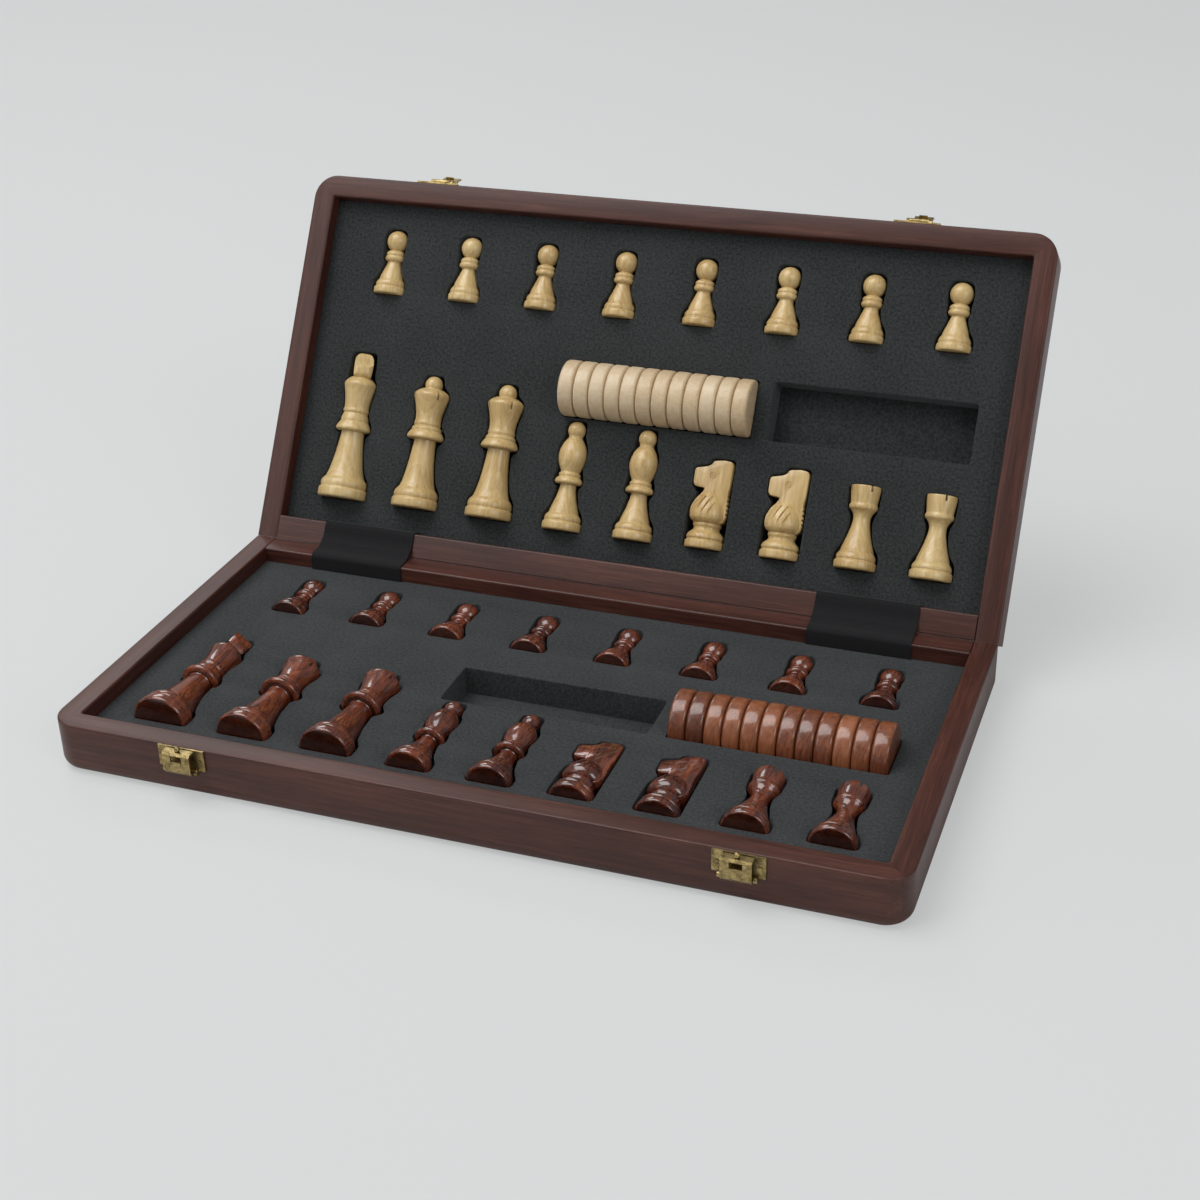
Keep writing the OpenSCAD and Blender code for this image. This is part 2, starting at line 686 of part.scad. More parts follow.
// drawn locked, then swung back to its resting angle
module hasp(x) {
  s = 1;
  p = hasp_pivot_o;
  q = hasp_pivot_w;
  o = plate_t + lever_out + 0.5;
  color(brass_c)
  tray(s)
    translate([0, depth + p, half_h + q])
      rotate([-hasp_rest, 0, 0])
        translate([0, -depth - p, -half_h - q])
          difference() {
            union() {
              barrel(s, x - hasp_w / 2, x + hasp_w / 2, p, q, curl_r);
              outline_x(s, [
                [p, q + 0.3], [p + 1.6, q - 0.3], [o, q + 2.4], [o + sheet_t, q + 3.2],
                [o + sheet_t, 5.6], [o + 1.6, 6.8], [o + 0.9, 7.1], [o, 5.8], [o, q + 3.4],
                [p + 1.2, q + 0.9], [p, q + curl_r]], x - hasp_w / 2, x + hasp_w / 2);
              outline_x(s, [[o + 0.1, 2.5], [o + 0.1, 3.3], [o - 1.9, 3.2], [o - 1.9, 2.6]],
                        x - 2, x + 2);
            }
            barrel(s, x - hasp_w, x + hasp_w, p, q, latch_pin_r + run);
            for (d = [-1, 1])
              translate([x + d * 2.9 - 0.6, depth + p - 1, half_h + q + 2.6])
                cube([1.2, 8, 4]);
          }
}

// ---- nodes ----
module base_frame() {
  color(wood_c) tray(-1) frame(-1);
}

module base_panel() {
  color(wood_c) tray(-1) panel(-1);
}

module base_border() {
  color(border_c) tray(-1) border(-1);
}

module base_light_inlay() {
  color(light_c) tray(-1) light_inlay(-1);
}

module base_dark_inlay() {
  color(dark_c) tray(-1) dark_inlay(-1);
}

module base_foam() {
  tray(-1) foam(-1);
}

module lid_frame() {
  color(wood_c) tray(1) frame(1);
}

module lid_panel() {
  color(wood_c) tray(1) panel(1);
}

module lid_border() {
  color(border_c) tray(1) border(1);
}

module lid_light_inlay() {
  color(light_c) tray(1) light_inlay(1);
}

module lid_dark_inlay() {
  color(dark_c) tray(1) dark_inlay(1);
}

module lid_foam() {
  tray(1) foam(1);
}

module hinge_base_leaves() {
  color(brass_c) tray(-1) leaves(-1);
}

module hinge_lid_leaves() {
  color(brass_c) tray(1) leaves(1);
}

module hinge_pins() {
  color(brass_c) tray(-1) pins();
}

module hinge_base_screws() {
  color(brass_c) tray(-1) leaf_screws(-1);
}

module hinge_lid_screws() {
  color(brass_c) tray(1) leaf_screws(1);
}

module hinge_strips() {
  color(foam_c) strips();
}

module latch_plates() {
  color(brass_c)
  tray(-1) {
    latch_plate(-latch_x);
    latch_plate(latch_x);
  }
}

module latch_lever_left() {
  lever(-latch_x);
}

module latch_lever_right() {
  lever(latch_x);
}

module hasp_plates() {
  color(brass_c)
  tray(1) {
    hasp_plate(-latch_x);
    hasp_plate(latch_x);
  }
}

module hasp_left() {
  hasp(-latch_x);
}

module hasp_right() {
  hasp(latch_x);
}

module light_king() {
  color(box_c) men_king(1);
}

module light_queen_1() {
  color(box_c) men_queen(1, 1);
}

module light_queen_2() {
  color(box_c) men_queen(1, 2);
}

module light_bishop_1() {
  color(box_c) men_bishop(1, 1);
}

module light_bishop_2() {
  color(box_c) men_bishop(1, 2);
}

module light_knight_1() {
  color(box_c) men_knight(1, 1);
}

module light_knight_2() {
  color(box_c) men_knight(1, 2);
}

module light_rook_1() {
  color(box_c) men_rook(1, 1);
}

module light_rook_2() {
  color(box_c) men_rook(1, 2);
}

module light_pawn_1() {
  color(box_c) men_pawn(1, 1);
}

module light_pawn_2() {
  color(box_c) men_pawn(1, 2);
}

module light_pawn_3() {
  color(box_c) men_pawn(1, 3);
}

module light_pawn_4() {
  color(box_c) men_pawn(1, 4);
}

module light_pawn_5() {
  color(box_c) men_pawn(1, 5);
}

module light_pawn_6() {
  color(box_c) men_pawn(1, 6);
}

module light_pawn_7() {
  color(box_c) men_pawn(1, 7);
}

module light_pawn_8() {
  color(box_c) men_pawn(1, 8);
}

module light_draughts() {
  color(box_c) roll(1);
}

module dark_king() {
  color(red_c) men_king(-1);
}

module dark_queen_1() {
  color(red_c) men_queen(-1, 1);
}

module dark_queen_2() {
  color(red_c) men_queen(-1, 2);
}

module dark_bishop_1() {
  color(red_c) men_bishop(-1, 1);
}

module dark_bishop_2() {
  color(red_c) men_bishop(-1, 2);
}

module dark_knight_1() {
  color(red_c) men_knight(-1, 1);
}

module dark_knight_2() {
  color(red_c) men_knight(-1, 2);
}

module dark_rook_1() {
  color(red_c) men_rook(-1, 1);
}

module dark_rook_2() {
  color(red_c) men_rook(-1, 2);
}

module dark_pawn_1() {
  color(red_c) men_pawn(-1, 1);
}

module dark_pawn_2() {
  color(red_c) men_pawn(-1, 2);
}

module dark_pawn_3() {
  color(red_c) men_pawn(-1, 3);
}

module dark_pawn_4() {
  color(red_c) men_pawn(-1, 4);
}

module dark_pawn_5() {
  color(red_c) men_pawn(-1, 5);
}

module dark_pawn_6() {
  color(red_c) men_pawn(-1, 6);
}

module dark_pawn_7() {
  color(red_c) men_pawn(-1, 7);
}

module dark_pawn_8() {
  color(red_c) men_pawn(-1, 8);
}

module dark_draughts() {
  color(red_c) roll(-1);
}

base_frame();
base_panel();
base_border();
base_light_inlay();
base_dark_inlay();
base_foam();
lid_frame();
lid_panel();
lid_border();
lid_light_inlay();
lid_dark_inlay();
lid_foam();
hinge_base_leaves();
hinge_lid_leaves();
hinge_pins();
hinge_base_screws();
hinge_lid_screws();
hinge_strips();
latch_plates();
latch_lever_left();
latch_lever_right();
hasp_plates();
hasp_left();
hasp_right();
light_king();
light_queen_1();
light_queen_2();
light_bishop_1();
light_bishop_2();
light_knight_1();
light_knight_2();
light_rook_1();
light_rook_2();
light_pawn_1();
light_pawn_2();
light_pawn_3();
light_pawn_4();
light_pawn_5();
light_pawn_6();
light_pawn_7();
light_pawn_8();
light_draughts();
dark_king();
dark_queen_1();
dark_queen_2();
dark_bishop_1();
dark_bishop_2();
dark_knight_1();
dark_knight_2();
dark_rook_1();
dark_rook_2();
dark_pawn_1();
dark_pawn_2();
dark_pawn_3();
dark_pawn_4();
dark_pawn_5();
dark_pawn_6();
dark_pawn_7();
dark_pawn_8();
dark_draughts();
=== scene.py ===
import math
import random

import bmesh
import bpy
from mathutils import Matrix, Vector
from mathutils.geometry import delaunay_2d_cdt


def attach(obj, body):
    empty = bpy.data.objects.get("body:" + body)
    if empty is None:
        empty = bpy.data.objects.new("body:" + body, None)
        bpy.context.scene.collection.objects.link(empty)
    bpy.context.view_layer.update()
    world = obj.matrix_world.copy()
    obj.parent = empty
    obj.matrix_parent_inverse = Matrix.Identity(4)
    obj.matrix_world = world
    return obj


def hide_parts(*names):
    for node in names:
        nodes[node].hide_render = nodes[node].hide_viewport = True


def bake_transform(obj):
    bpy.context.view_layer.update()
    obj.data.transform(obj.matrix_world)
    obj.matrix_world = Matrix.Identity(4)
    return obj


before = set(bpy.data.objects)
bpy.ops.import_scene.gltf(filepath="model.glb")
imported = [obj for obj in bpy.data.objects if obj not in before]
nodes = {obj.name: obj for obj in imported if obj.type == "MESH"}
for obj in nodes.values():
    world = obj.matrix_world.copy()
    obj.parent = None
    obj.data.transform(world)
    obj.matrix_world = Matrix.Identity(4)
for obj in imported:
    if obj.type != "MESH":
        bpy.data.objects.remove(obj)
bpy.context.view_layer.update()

# ---------------- sizes, in mm
MM = 0.001
W = 380.0                        # width of the case
D = 190.0                        # depth of one half
HH = 24.5                        # height of one half
WALL, RAIL = 11.0, 12.0          # rims; RAIL is the one at the hinge
PANEL, VENEER = 3.5, 0.6
NOSE = 5.5                       # round of the board's outer edge
RECESS = 7.5                     # from the rim down to the foam
GLUE, SEAM = 0.03, 0.05          # gaps: between glued pieces, and between the halves
FIT = 0.05                       # gap between foam and wood
RIM = HH - SEAM
R = WALL + 1                     # corner radius, seen from above
MITRE = 44.9                     # angle at which two rails meet, in degrees
EDGE = NOSE + 18.3               # from the outer face to the inlaid lines
LINE = 2.0
SQ = (D - EDGE - 2 * LINE) / 4   # side of a square
TILT = 58.0                      # the lid leans this far up from the flat board, in degrees
FOAM_Z = HH - RECESS
POCKET_Z = PANEL + 0.1           # floor of the deepest pockets

# places of the men: along the hinge, and from the lid's hinge side to the man's foot
BIG_X = [-150, -109.5, -69, -30, 7, 43, 80.4, 117.5, 153.5]
PAWN_X0, PAWN_STEP = -143.5, 41.6
BIG_V, PAWN_V, SLOT_V = 25.0, 132.5, 95.0
SLOT_X = [9.5, 115.0]
DISC_R, DISC_T, PITCH = 14.0, 8.0, 8.05
SLOT_L, SLOT_W = 12 * PITCH + 1, 2 * DISC_R + 0.7

# how deep each kind's axis lies below the rim
KING_D = RECESS + 0.5
BISHOP_D = RECESS + 1.5
KNIGHT_D = HH - PANEL - 9.8 - 0.25
ROOK_D = RECESS + 1.7
PAWN_D = RECESS + 3

HINGE_X, LEAF = 128.0, 40.0
KNUCKLE_R, LEAF_REACH, LEAF_SINK = 2.2, 8.6, 0.93
STRIP_W = 49.0
GAP = 0.5                        # between a man and its pocket

rnd = random.Random(7)


def turn(angle, axis):
    return Matrix.Rotation(math.radians(angle), 4, axis)


def tray_matrix(s):
    """Place of a half: s is -1 for the base and 1 for the lid, y = 0 and z = HH the hinge axis."""
    hinge = Matrix.Translation(Vector((0, D / 2, HH)) * MM)
    return hinge @ turn(TILT if s > 0 else 0, "X") @ Matrix.Translation((0, 0, -HH * MM))


TRAY = {-1: tray_matrix(-1), 1: tray_matrix(1)}
HALF = {-1: "base", 1: "lid"}


# ---------------- materials
SEED_STEP, TINT_STEP = 317.0, 911.0    # how far the pattern moves from piece to piece, in mm
STEP_SHARES = (0.61, 0.37)
GRAIN_STRETCH, FIGURE_STRETCH = 0.035, 0.25
VENEER_COAT_ROUGH, LACQUER_ROUGH = 0.3, 0.06
WOOD_GLOSS = 0.35
PITH_OUT = 17.0                        # how far the heart of the tree lies from a man's axis
AXIS_FACING_LIMIT = 0.97                       # faces that look along the axis more than this are the flat end faces, which end darkens in turned_wood


class Shader:
    """A small helper that adds nodes to one material."""

    def __init__(self, name):
        self.mat = bpy.data.materials.new(name)
        self.mat.use_nodes = True
        self.tree = self.mat.node_tree
        self.bsdf = self.tree.nodes["Principled BSDF"]

    def add(self, kind, **values):
        n = self.tree.nodes.new(kind)
        for key, value in values.items():
            setattr(n, key, value)
        return n

    def link(self, a, b):
        self.tree.links.new(a, b)

    def math(self, op, a, b=None):
        n = self.add("ShaderNodeMath", operation=op)
        for i, v in enumerate((a, b)):
            if v is None:
                continue
            if isinstance(v, (int, float)):
                n.inputs[i].default_value = v
            else:
                self.link(v, n.inputs[i])
        return n.outputs[0]

    def vmath(self, op, a, b):
        n = self.add("ShaderNodeVectorMath", operation=op)
        for i, v in enumerate((a, b)):
            if isinstance(v, (tuple, list)):
                n.inputs[i].default_value = v
            else:
                self.link(v, n.inputs[i])
        return n.outputs[0]

    def noise(self, vector, scale, detail=4.0, rough=0.55, distort=0.0):
        n = self.add("ShaderNodeTexNoise")
        n.inputs["Scale"].default_value = scale
        n.inputs["Detail"].default_value = detail
        n.inputs["Roughness"].default_value = rough
        n.inputs["Distortion"].default_value = distort
        self.link(vector, n.inputs["Vector"])
        return n.outputs["Fac"]

    def ramp(self, fac, stops):
        n = self.add("ShaderNodeValToRGB")
        e = n.color_ramp.elements
        e[0].position, e[0].color = stops[0][0], (*stops[0][1], 1)
        e[1].position, e[1].color = stops[-1][0], (*stops[-1][1], 1)
        for pos, col in stops[1:-1]:
            x = e.new(pos)
            x.color = (*col, 1)
        self.link(fac, n.inputs[0])
        return n.outputs[0]

    def mix(self, fac, a, b):
        n = self.add("ShaderNodeMix", data_type="RGBA")
        for i, v in ((0, fac), (6, a), (7, b)):
            if isinstance(v, (int, float)):
                n.inputs[i].default_value = v
            elif isinstance(v, tuple):
                n.inputs[i].default_value = (*v, 1)
            else:
                self.link(v, n.inputs[i])
        return n.outputs[2]

    def attribute(self, name, kind="GEOMETRY"):
        n = self.add("ShaderNodeAttribute", attribute_name=name, attribute_type=kind)
        return n.outputs["Fac"]

    def vector(self, x, y, z=None):
        n = self.add("ShaderNodeCombineXYZ")
        for i, part in enumerate((x, y, z)):
            if part is not None:
                self.link(part, n.inputs[i])
        return n.outputs[0]

    def place(self, seeded=True):
        """Object coordinates in mm, moved by the object's own seed and the face's tint."""
        co = self.vmath("SCALE", self.add("ShaderNodeTexCoord").outputs["Object"], (0, 0, 0))
        co.node.inputs["Scale"].default_value = 1000
        if seeded:
            by_seed = self.math("MULTIPLY", self.attribute("seed", "OBJECT"), SEED_STEP)
            by_tint = self.math("MULTIPLY", self.attribute("tint"), TINT_STEP)
            total = self.math("ADD", by_seed, by_tint)
            y, z = (self.math("MULTIPLY", total, share) for share in STEP_SHARES)
            co = self.vmath("ADD", co, self.vector(total, y, z))
        return co

    def bump(self, height, strength, distance):
        n = self.add("ShaderNodeBump")
        n.inputs["Strength"].default_value = strength
        n.inputs["Distance"].default_value = distance
        self.link(height, n.inputs["Height"])
        self.link(n.outputs[0], self.bsdf.inputs["Normal"])

    def set(self, **values):
        for key, value in values.items():
            s = self.bsdf.inputs[key.replace("_", " ")]
            if isinstance(value, (int, float, tuple)):
                s.default_value = value
            else:
                self.link(value, s)


def wood(name, stops, along, fine=1.6, slow=0.05, rough=0.38, coat=0.25, pores=0.3, figure=0.5,
         bump=0.12, vary=0.0, blush=None):
    """Wood with straight grain along one axis. vary and blush change it from square to square."""
    sh = Shader(name)
    co = sh.place()
    scale = [1.0, 1.0, 1.0]
    scale["XYZ".index(along)] = GRAIN_STRETCH
    grain = sh.vmath("MULTIPLY", co, tuple(scale))
    wide = sh.vmath("MULTIPLY", co, tuple(v if v == 1 else FIGURE_STRETCH for v in scale))
    bands = sh.noise(grain, slow * 6, 5, 0.6, 0.8)
    blotch = sh.noise(wide, slow, 3, 0.5, 0.4)
    streak = sh.noise(grain, fine, 4, 0.65)
    pore = sh.noise(grain, fine * 3.2, 2, 0.5)
    mixed = sh.math("ADD", sh.math("MULTIPLY", bands, figure),
                    sh.math("MULTIPLY", streak, 1 - figure))
    mixed = sh.math("ADD", mixed, sh.math("MULTIPLY", sh.math("SUBTRACT", blotch, 0.5), 0.35))
    tone = sh.attribute("tint")
    if vary:
        own = sh.math("SUBTRACT", sh.math("FRACT", sh.math("MULTIPLY", tone, 7.31)), 0.5)
        mixed = sh.math("ADD", mixed, sh.math("MULTIPLY", own, vary))
    col = sh.ramp(mixed, stops)
    if blush:
        col = sh.mix(sh.math("FRACT", sh.math("MULTIPLY", tone, 3.7)), col, blush)
    dark = sh.math("MULTIPLY", sh.math("GREATER_THAN", pore, 0.62), pores)
    col = sh.mix(dark, col, tuple(c * 0.45 for c in stops[0][1]))
    sh.set(Base_Color=col, Coat_Weight=coat, Coat_Roughness=VENEER_COAT_ROUGH,
           Specular_IOR_Level=WOOD_GLOSS)
    sh.set(Roughness=sh.math("ADD", sh.math("MULTIPLY", streak, 0.16), rough - 0.08))
    sh.bump(sh.math("ADD", streak, sh.math("MULTIPLY", pore, 0.5)), bump, 0.0002)
    return sh.mat


def turned_wood(name, stops, rough, coat, rings, vary, end=1.0):
    """Turned wood, streaked and faintly ringed along its axis. A lower end darkens more the faces
    that look along the axis, the foot and the flat top.
    """
    sh = Shader(name)
    plain = sh.place(False)
    co = sh.place()
    own = sh.math("ADD", sh.attribute("seed", "OBJECT"), sh.attribute("tint"))
    angle = sh.math("MULTIPLY", own, 40.0)
    side, ahead = sh.math("SINE", angle), sh.math("COSINE", angle)
    pith = sh.vector(sh.math("MULTIPLY", side, PITH_OUT), sh.math("MULTIPLY", ahead, PITH_OUT))
    warp = sh.noise(sh.vmath("MULTIPLY", co, (1, 1, 0.35)), 0.06, 3, 0.5)
    bend = sh.vector(sh.math("MULTIPLY", warp, 9.0), sh.math("MULTIPLY", warp, 5.0))
    wave = sh.add("ShaderNodeTexWave", wave_type="RINGS", rings_direction="Z", wave_profile="SAW")
    wave.inputs["Scale"].default_value = 0.2
    wave.inputs["Distortion"].default_value = 0.8
    wave.inputs["Detail"].default_value = 2
    wave.inputs["Detail Scale"].default_value = 0.5
    sh.link(sh.vmath("ADD", sh.vmath("ADD", plain, pith), bend), wave.inputs["Vector"])
    fibre = sh.noise(sh.vmath("MULTIPLY", co, (1, 1, 0.05)), 2.2, 3, 0.6)
    streak = sh.noise(sh.vmath("MULTIPLY", co, (1, 1, 0.14)), 0.42, 4, 0.6, 0.6)
    cloud = sh.noise(co, 0.07, 3, 0.5)
    fac = sh.math("MULTIPLY", wave.outputs["Fac"], rings)
    for part, share in ((fibre, 0.2), (streak, 0.5), (cloud, 0.3 - rings)):
        fac = sh.math("ADD", fac, sh.math("MULTIPLY", part, share))
    shift = sh.math("SUBTRACT", sh.math("FRACT", sh.math("MULTIPLY", own, 7.31)), 0.5)
    fac = sh.math("ADD", fac, sh.math("MULTIPLY", shift, vary))
    col = sh.ramp(fac, stops)
    # faces that look along the axis, the foot and the flat top, are made darker, towards the
    # darkest stop
    if end < 1:
        split = sh.add("ShaderNodeSeparateXYZ")
        sh.link(sh.add("ShaderNodeTexCoord").outputs["Normal"], split.inputs[0])
        across = sh.math("GREATER_THAN", sh.math("ABSOLUTE", split.outputs[2]), AXIS_FACING_LIMIT)
        col = sh.mix(sh.math("MULTIPLY", across, 1 - end), col, tuple(c * 0.6 for c in stops[0][1]))
    sh.set(Base_Color=col, Coat_Weight=coat, Coat_Roughness=LACQUER_ROUGH)
    sh.set(Roughness=sh.math("ADD", sh.math("MULTIPLY", fibre, 0.14), rough - 0.07))
    sh.bump(fibre, 0.05, 0.0002)
    return sh.mat


def foam_material(name, base, lift):
    """Cut foam: open cells of a darker and a lighter grey, lift apart."""
    sh = Shader(name)
    co = sh.place()
    fuzz = sh.noise(co, 3.2, 6, 0.75)
    cell = sh.noise(co, 0.8, 3, 0.65)
    cloud = sh.noise(co, 0.03, 3, 0.5)
    fac = sh.math("ADD", sh.math("MULTIPLY", cell, 0.7), sh.math("MULTIPLY", fuzz, 0.15))
    fac = sh.math("ADD", fac, sh.math("MULTIPLY", cloud, 0.15))
    low = tuple(c * (1 - lift) for c in base)
    high = tuple(c * (1 + lift) for c in base)
    sh.set(Base_Color=sh.ramp(fac, [(0.38, low), (0.62, high)]), Roughness=0.95)
    sh.set(Specular_IOR_Level=0.2, Sheen_Weight=0.25, Sheen_Roughness=0.5,
           Sheen_Tint=(0.55, 0.58, 0.6, 1))
    sh.bump(sh.math("ADD", fuzz, sh.math("MULTIPLY", cell, 0.8)), 0.6, 0.0004)
    return sh.mat


def cloth_material(name):
    """Woven black tape."""
    sh = Shader(name)
    co = sh.place()
    ribs = []
    for axis in "XY":
        w = sh.add("ShaderNodeTexWave", wave_type="BANDS", bands_direction=axis)
        w.inputs["Scale"].default_value = 0.55
        w.inputs["Distortion"].default_value = 0.4
        sh.link(co, w.inputs["Vector"])
        ribs.append(w.outputs["Fac"])
    weave = sh.math("MULTIPLY", ribs[0], ribs[1])
    lint = sh.noise(co, 1.4, 5, 0.7)
    fac = sh.math("ADD", sh.math("MULTIPLY", weave, 0.5), sh.math("MULTIPLY", lint, 0.5))
    sh.set(Base_Color=sh.ramp(fac, [(0.2, (0.004, 0.004, 0.005)), (0.8, (0.016, 0.016, 0.018))]))
    sh.set(Roughness=0.85, Sheen_Weight=0.12, Sheen_Roughness=0.4, Specular_IOR_Level=0.25)
    sh.bump(fac, 0.35, 0.0003)
    return sh.mat


def brass_material(name, bright, patina, amount):
    """Aged brass; a larger amount leaves more of it bright."""
    sh = Shader(name)
    co = sh.place(False)
    blot = sh.noise(co, 0.35, 5, 0.65)
    fine = sh.noise(co, 2.2, 4, 0.6)
    scratch = sh.noise(sh.vmath("MULTIPLY", co, (0.3, 3.0, 3.0)), 1.6, 3, 0.6)
    fac = sh.math("ADD", sh.math("MULTIPLY", blot, 0.6), sh.math("MULTIPLY", fine, 0.4))
    fac = sh.math("ADD", fac, amount)
    middle = tuple((a + b) / 2 for a, b in zip(patina, bright))
    sh.set(Base_Color=sh.ramp(fac, [(0.38, patina), (0.52, middle), (0.68, bright)]))
    sh.set(Metallic=1.0, Roughness=sh.math("SUBTRACT", 0.62, sh.math("MULTIPLY", fac, 0.42)))
    sh.bump(sh.math("ADD", fine, scratch), 0.25, 0.0001)
    return sh.mat


RAIL_STOPS = [(0.3, (0.028, 0.0072, 0.0045)), (0.5, (0.062, 0.0180, 0.0115)),
              (0.7, (0.115, 0.038, 0.024))]
BORDER_STOPS = [(0.38, (0.085, 0.036, 0.020)), (0.5, (0.170, 0.078, 0.046)),
                (0.62, (0.260, 0.135, 0.085))]
PALE_STOPS = [(0.3, (0.420, 0.270, 0.150)), (0.5, (0.500, 0.335, 0.195)),
              (0.7, (0.570, 0.400, 0.245))]
WALNUT_STOPS = [(0.39, (0.080, 0.034, 0.019)), (0.5, (0.180, 0.082, 0.048)),
                (0.61, (0.275, 0.138, 0.085))]
BOX_STOPS = [(0.3, (0.400, 0.240, 0.085)), (0.45, (0.540, 0.365, 0.150)),
             (0.58, (0.620, 0.450, 0.205)), (0.72, (0.690, 0.540, 0.280))]
RED_STOPS = [(0.3, (0.014, 0.0030, 0.0018)), (0.44, (0.062, 0.0110, 0.0050)),
             (0.56, (0.165, 0.0350, 0.0120)), (0.7, (0.300, 0.0800, 0.0280))]
DISC_PALE_STOPS = [(0.25, (0.500, 0.345, 0.195)), (0.5, (0.610, 0.465, 0.295)),
                   (0.75, (0.690, 0.560, 0.390))]
DISC_RED_STOPS = [(0.25, (0.050, 0.0130, 0.0080)), (0.42, (0.140, 0.0390, 0.0165)),
                  (0.58, (0.255, 0.0800, 0.0310)), (0.78, (0.380, 0.1450, 0.0620))]
LINE_PALE_STOPS = [(0.25, (0.520, 0.430, 0.270)), (0.75, (0.680, 0.590, 0.400))]
LINE_DARK_STOPS = [(0.25, (0.006, 0.005, 0.005)), (0.75, (0.018, 0.015, 0.014))]
CORE_STOPS = [(0.3, (0.20, 0.11, 0.06)), (0.7, (0.33, 0.20, 0.12))]
PALE_BLUSH, WALNUT_BLUSH = (0.520, 0.310, 0.190), (0.140, 0.064, 0.039)
SATIN = {"fine": 1.3, "pores": 0.35, "rough": 0.42, "coat": 0.1}
VENEERED = {"fine": 1.5, "pores": 0.5, "coat": 0.12}
INLAID = {"pores": 0.0, "bump": 0.03, "coat": 0.1}

M = {
    "rail_x": wood("rail_wood_x", RAIL_STOPS, "X", **SATIN),
    "rail_y": wood("rail_wood_y", RAIL_STOPS, "Y", **SATIN),
    "border_x": wood("border_veneer_x", BORDER_STOPS, "X", **VENEERED),
    "border_y": wood("border_veneer_y", BORDER_STOPS, "Y", **VENEERED),
    "pale": wood("pale_veneer", PALE_STOPS, "X", fine=1.8, pores=0.06, figure=0.6, bump=0.05,
                 coat=0.1, vary=0.12, blush=PALE_BLUSH),
    "walnut": wood("walnut_veneer", WALNUT_STOPS, "X", slow=0.075, figure=0.6, vary=0.14,
                   blush=WALNUT_BLUSH, **VENEERED),
    "line_pale": wood("line_pale", LINE_PALE_STOPS, "X", **INLAID),
    "line_dark": wood("line_dark", LINE_DARK_STOPS, "X", **INLAID),
    "core": wood("board_core", CORE_STOPS, "X"),
    "boxwood": turned_wood("boxwood", BOX_STOPS, 0.36, 0.3, rings=0.1, vary=0.12, end=0.7),
    "red": turned_wood("dark_stained_wood", RED_STOPS, 0.24, 0.85, rings=0.08, vary=0.1, end=0.25),
    "disc_pale": turned_wood("draught_pale", DISC_PALE_STOPS, 0.45, 0.1, rings=0.05, vary=0.22),
    "disc_red": turned_wood("draught_dark", DISC_RED_STOPS, 0.3, 0.5, rings=0.06, vary=0.22),
    "foam": foam_material("foam", (0.0285, 0.0310, 0.0320), 0.5),
    "cloth": cloth_material("black_cloth"),
    "brass": brass_material("antique_brass", (0.62, 0.47, 0.21), (0.12, 0.085, 0.035), 0.0),
    "plain_brass": brass_material("hinge_brass", (0.66, 0.52, 0.26), (0.35, 0.26, 0.12), 0.05),
}


# ---------------- mesh helpers
TURNED, CARVED = 32.0, 30        # edges flatter than this are shaded smooth, in degrees


def sharpen(me, angle):
    """Even normals, smooth shading, and sharp edges where the surface bends more than the angle."""
    bm = bmesh.new()
    bm.from_mesh(me)
    bmesh.ops.recalc_face_normals(bm, faces=bm.faces)
    for f in bm.faces:
        f.smooth = True
    limit = math.radians(angle)
    for e in bm.edges:
        e.smooth = len(e.link_faces) == 2 and e.calc_face_angle(0) < limit
    bm.to_mesh(me)
    bm.free()


def make_mesh(name, verts, faces, angle=TURNED):
    me = bpy.data.meshes.new(name)
    me.from_pydata([(x * MM, y * MM, z * MM) for x, y, z in verts], [], faces)
    me.validate()
    sharpen(me, angle)
    return me


def new_object(name, data):
    o = bpy.data.objects.new(name, data)
    bpy.context.scene.collection.objects.link(o)
    return o


def add(name, me, mat, body, matrix, node):
    """A piece that rides on one body and stands for one CAD node."""
    o = new_object(name, me)
    o.matrix_world = matrix
    me.materials.append(mat)
    o["seed"] = rnd.random()
    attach(o, body)
    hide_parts(node)


def tint(me, values):
    """One number per face, which lets the wood change from square to square or disc to disc."""
    a = me.attributes.new("tint", "FLOAT", "FACE")
    a.data.foreach_set("value", values)


def tray_piece(s, name, solid, mat, node, tints=None):
    """A piece of one half, from its points and faces in that half's own frame."""
    half = HALF[s]
    me = make_mesh(f"{half}_{name}", *solid)
    if tints:
        tint(me, tints)
    add(me.name, me, M[mat], half, TRAY[s], f"{half}_{node}")


def prism(pts, z0, z1):
    """Upright prism over a flat outline."""
    n = len(pts)
    v = [(x, y, z0) for x, y in pts] + [(x, y, z1) for x, y in pts]
    f = [list(range(n))[::-1], list(range(n, 2 * n))]
    f += [[i, (i + 1) % n, n + (i + 1) % n, n + i] for i in range(n)]
    return v, f


def along_x(pts, x0, x1):
    """Prism along X over an outline given as (y, z)."""
    n = len(pts)
    v = [(x0, y, z) for y, z in pts] + [(x1, y, z) for y, z in pts]
    f = [list(range(n)), list(range(n, 2 * n))[::-1]]
    f += [[i, n + i, n + (i + 1) % n, (i + 1) % n] for i in range(n)]
    return v, f


def join(parts):
    v, f = [], []
    for pv, pf in parts:
        k = len(v)
        v += pv
        f += [[i + k for i in face] for face in pf]
    return v, f


def arc(cx, cy, r, a0, a1, n):
    return [(cx + r * math.cos(math.radians(a0 + (a1 - a0) * i / n)),
             cy + r * math.sin(math.radians(a0 + (a1 - a0) * i / n))) for i in range(n + 1)]


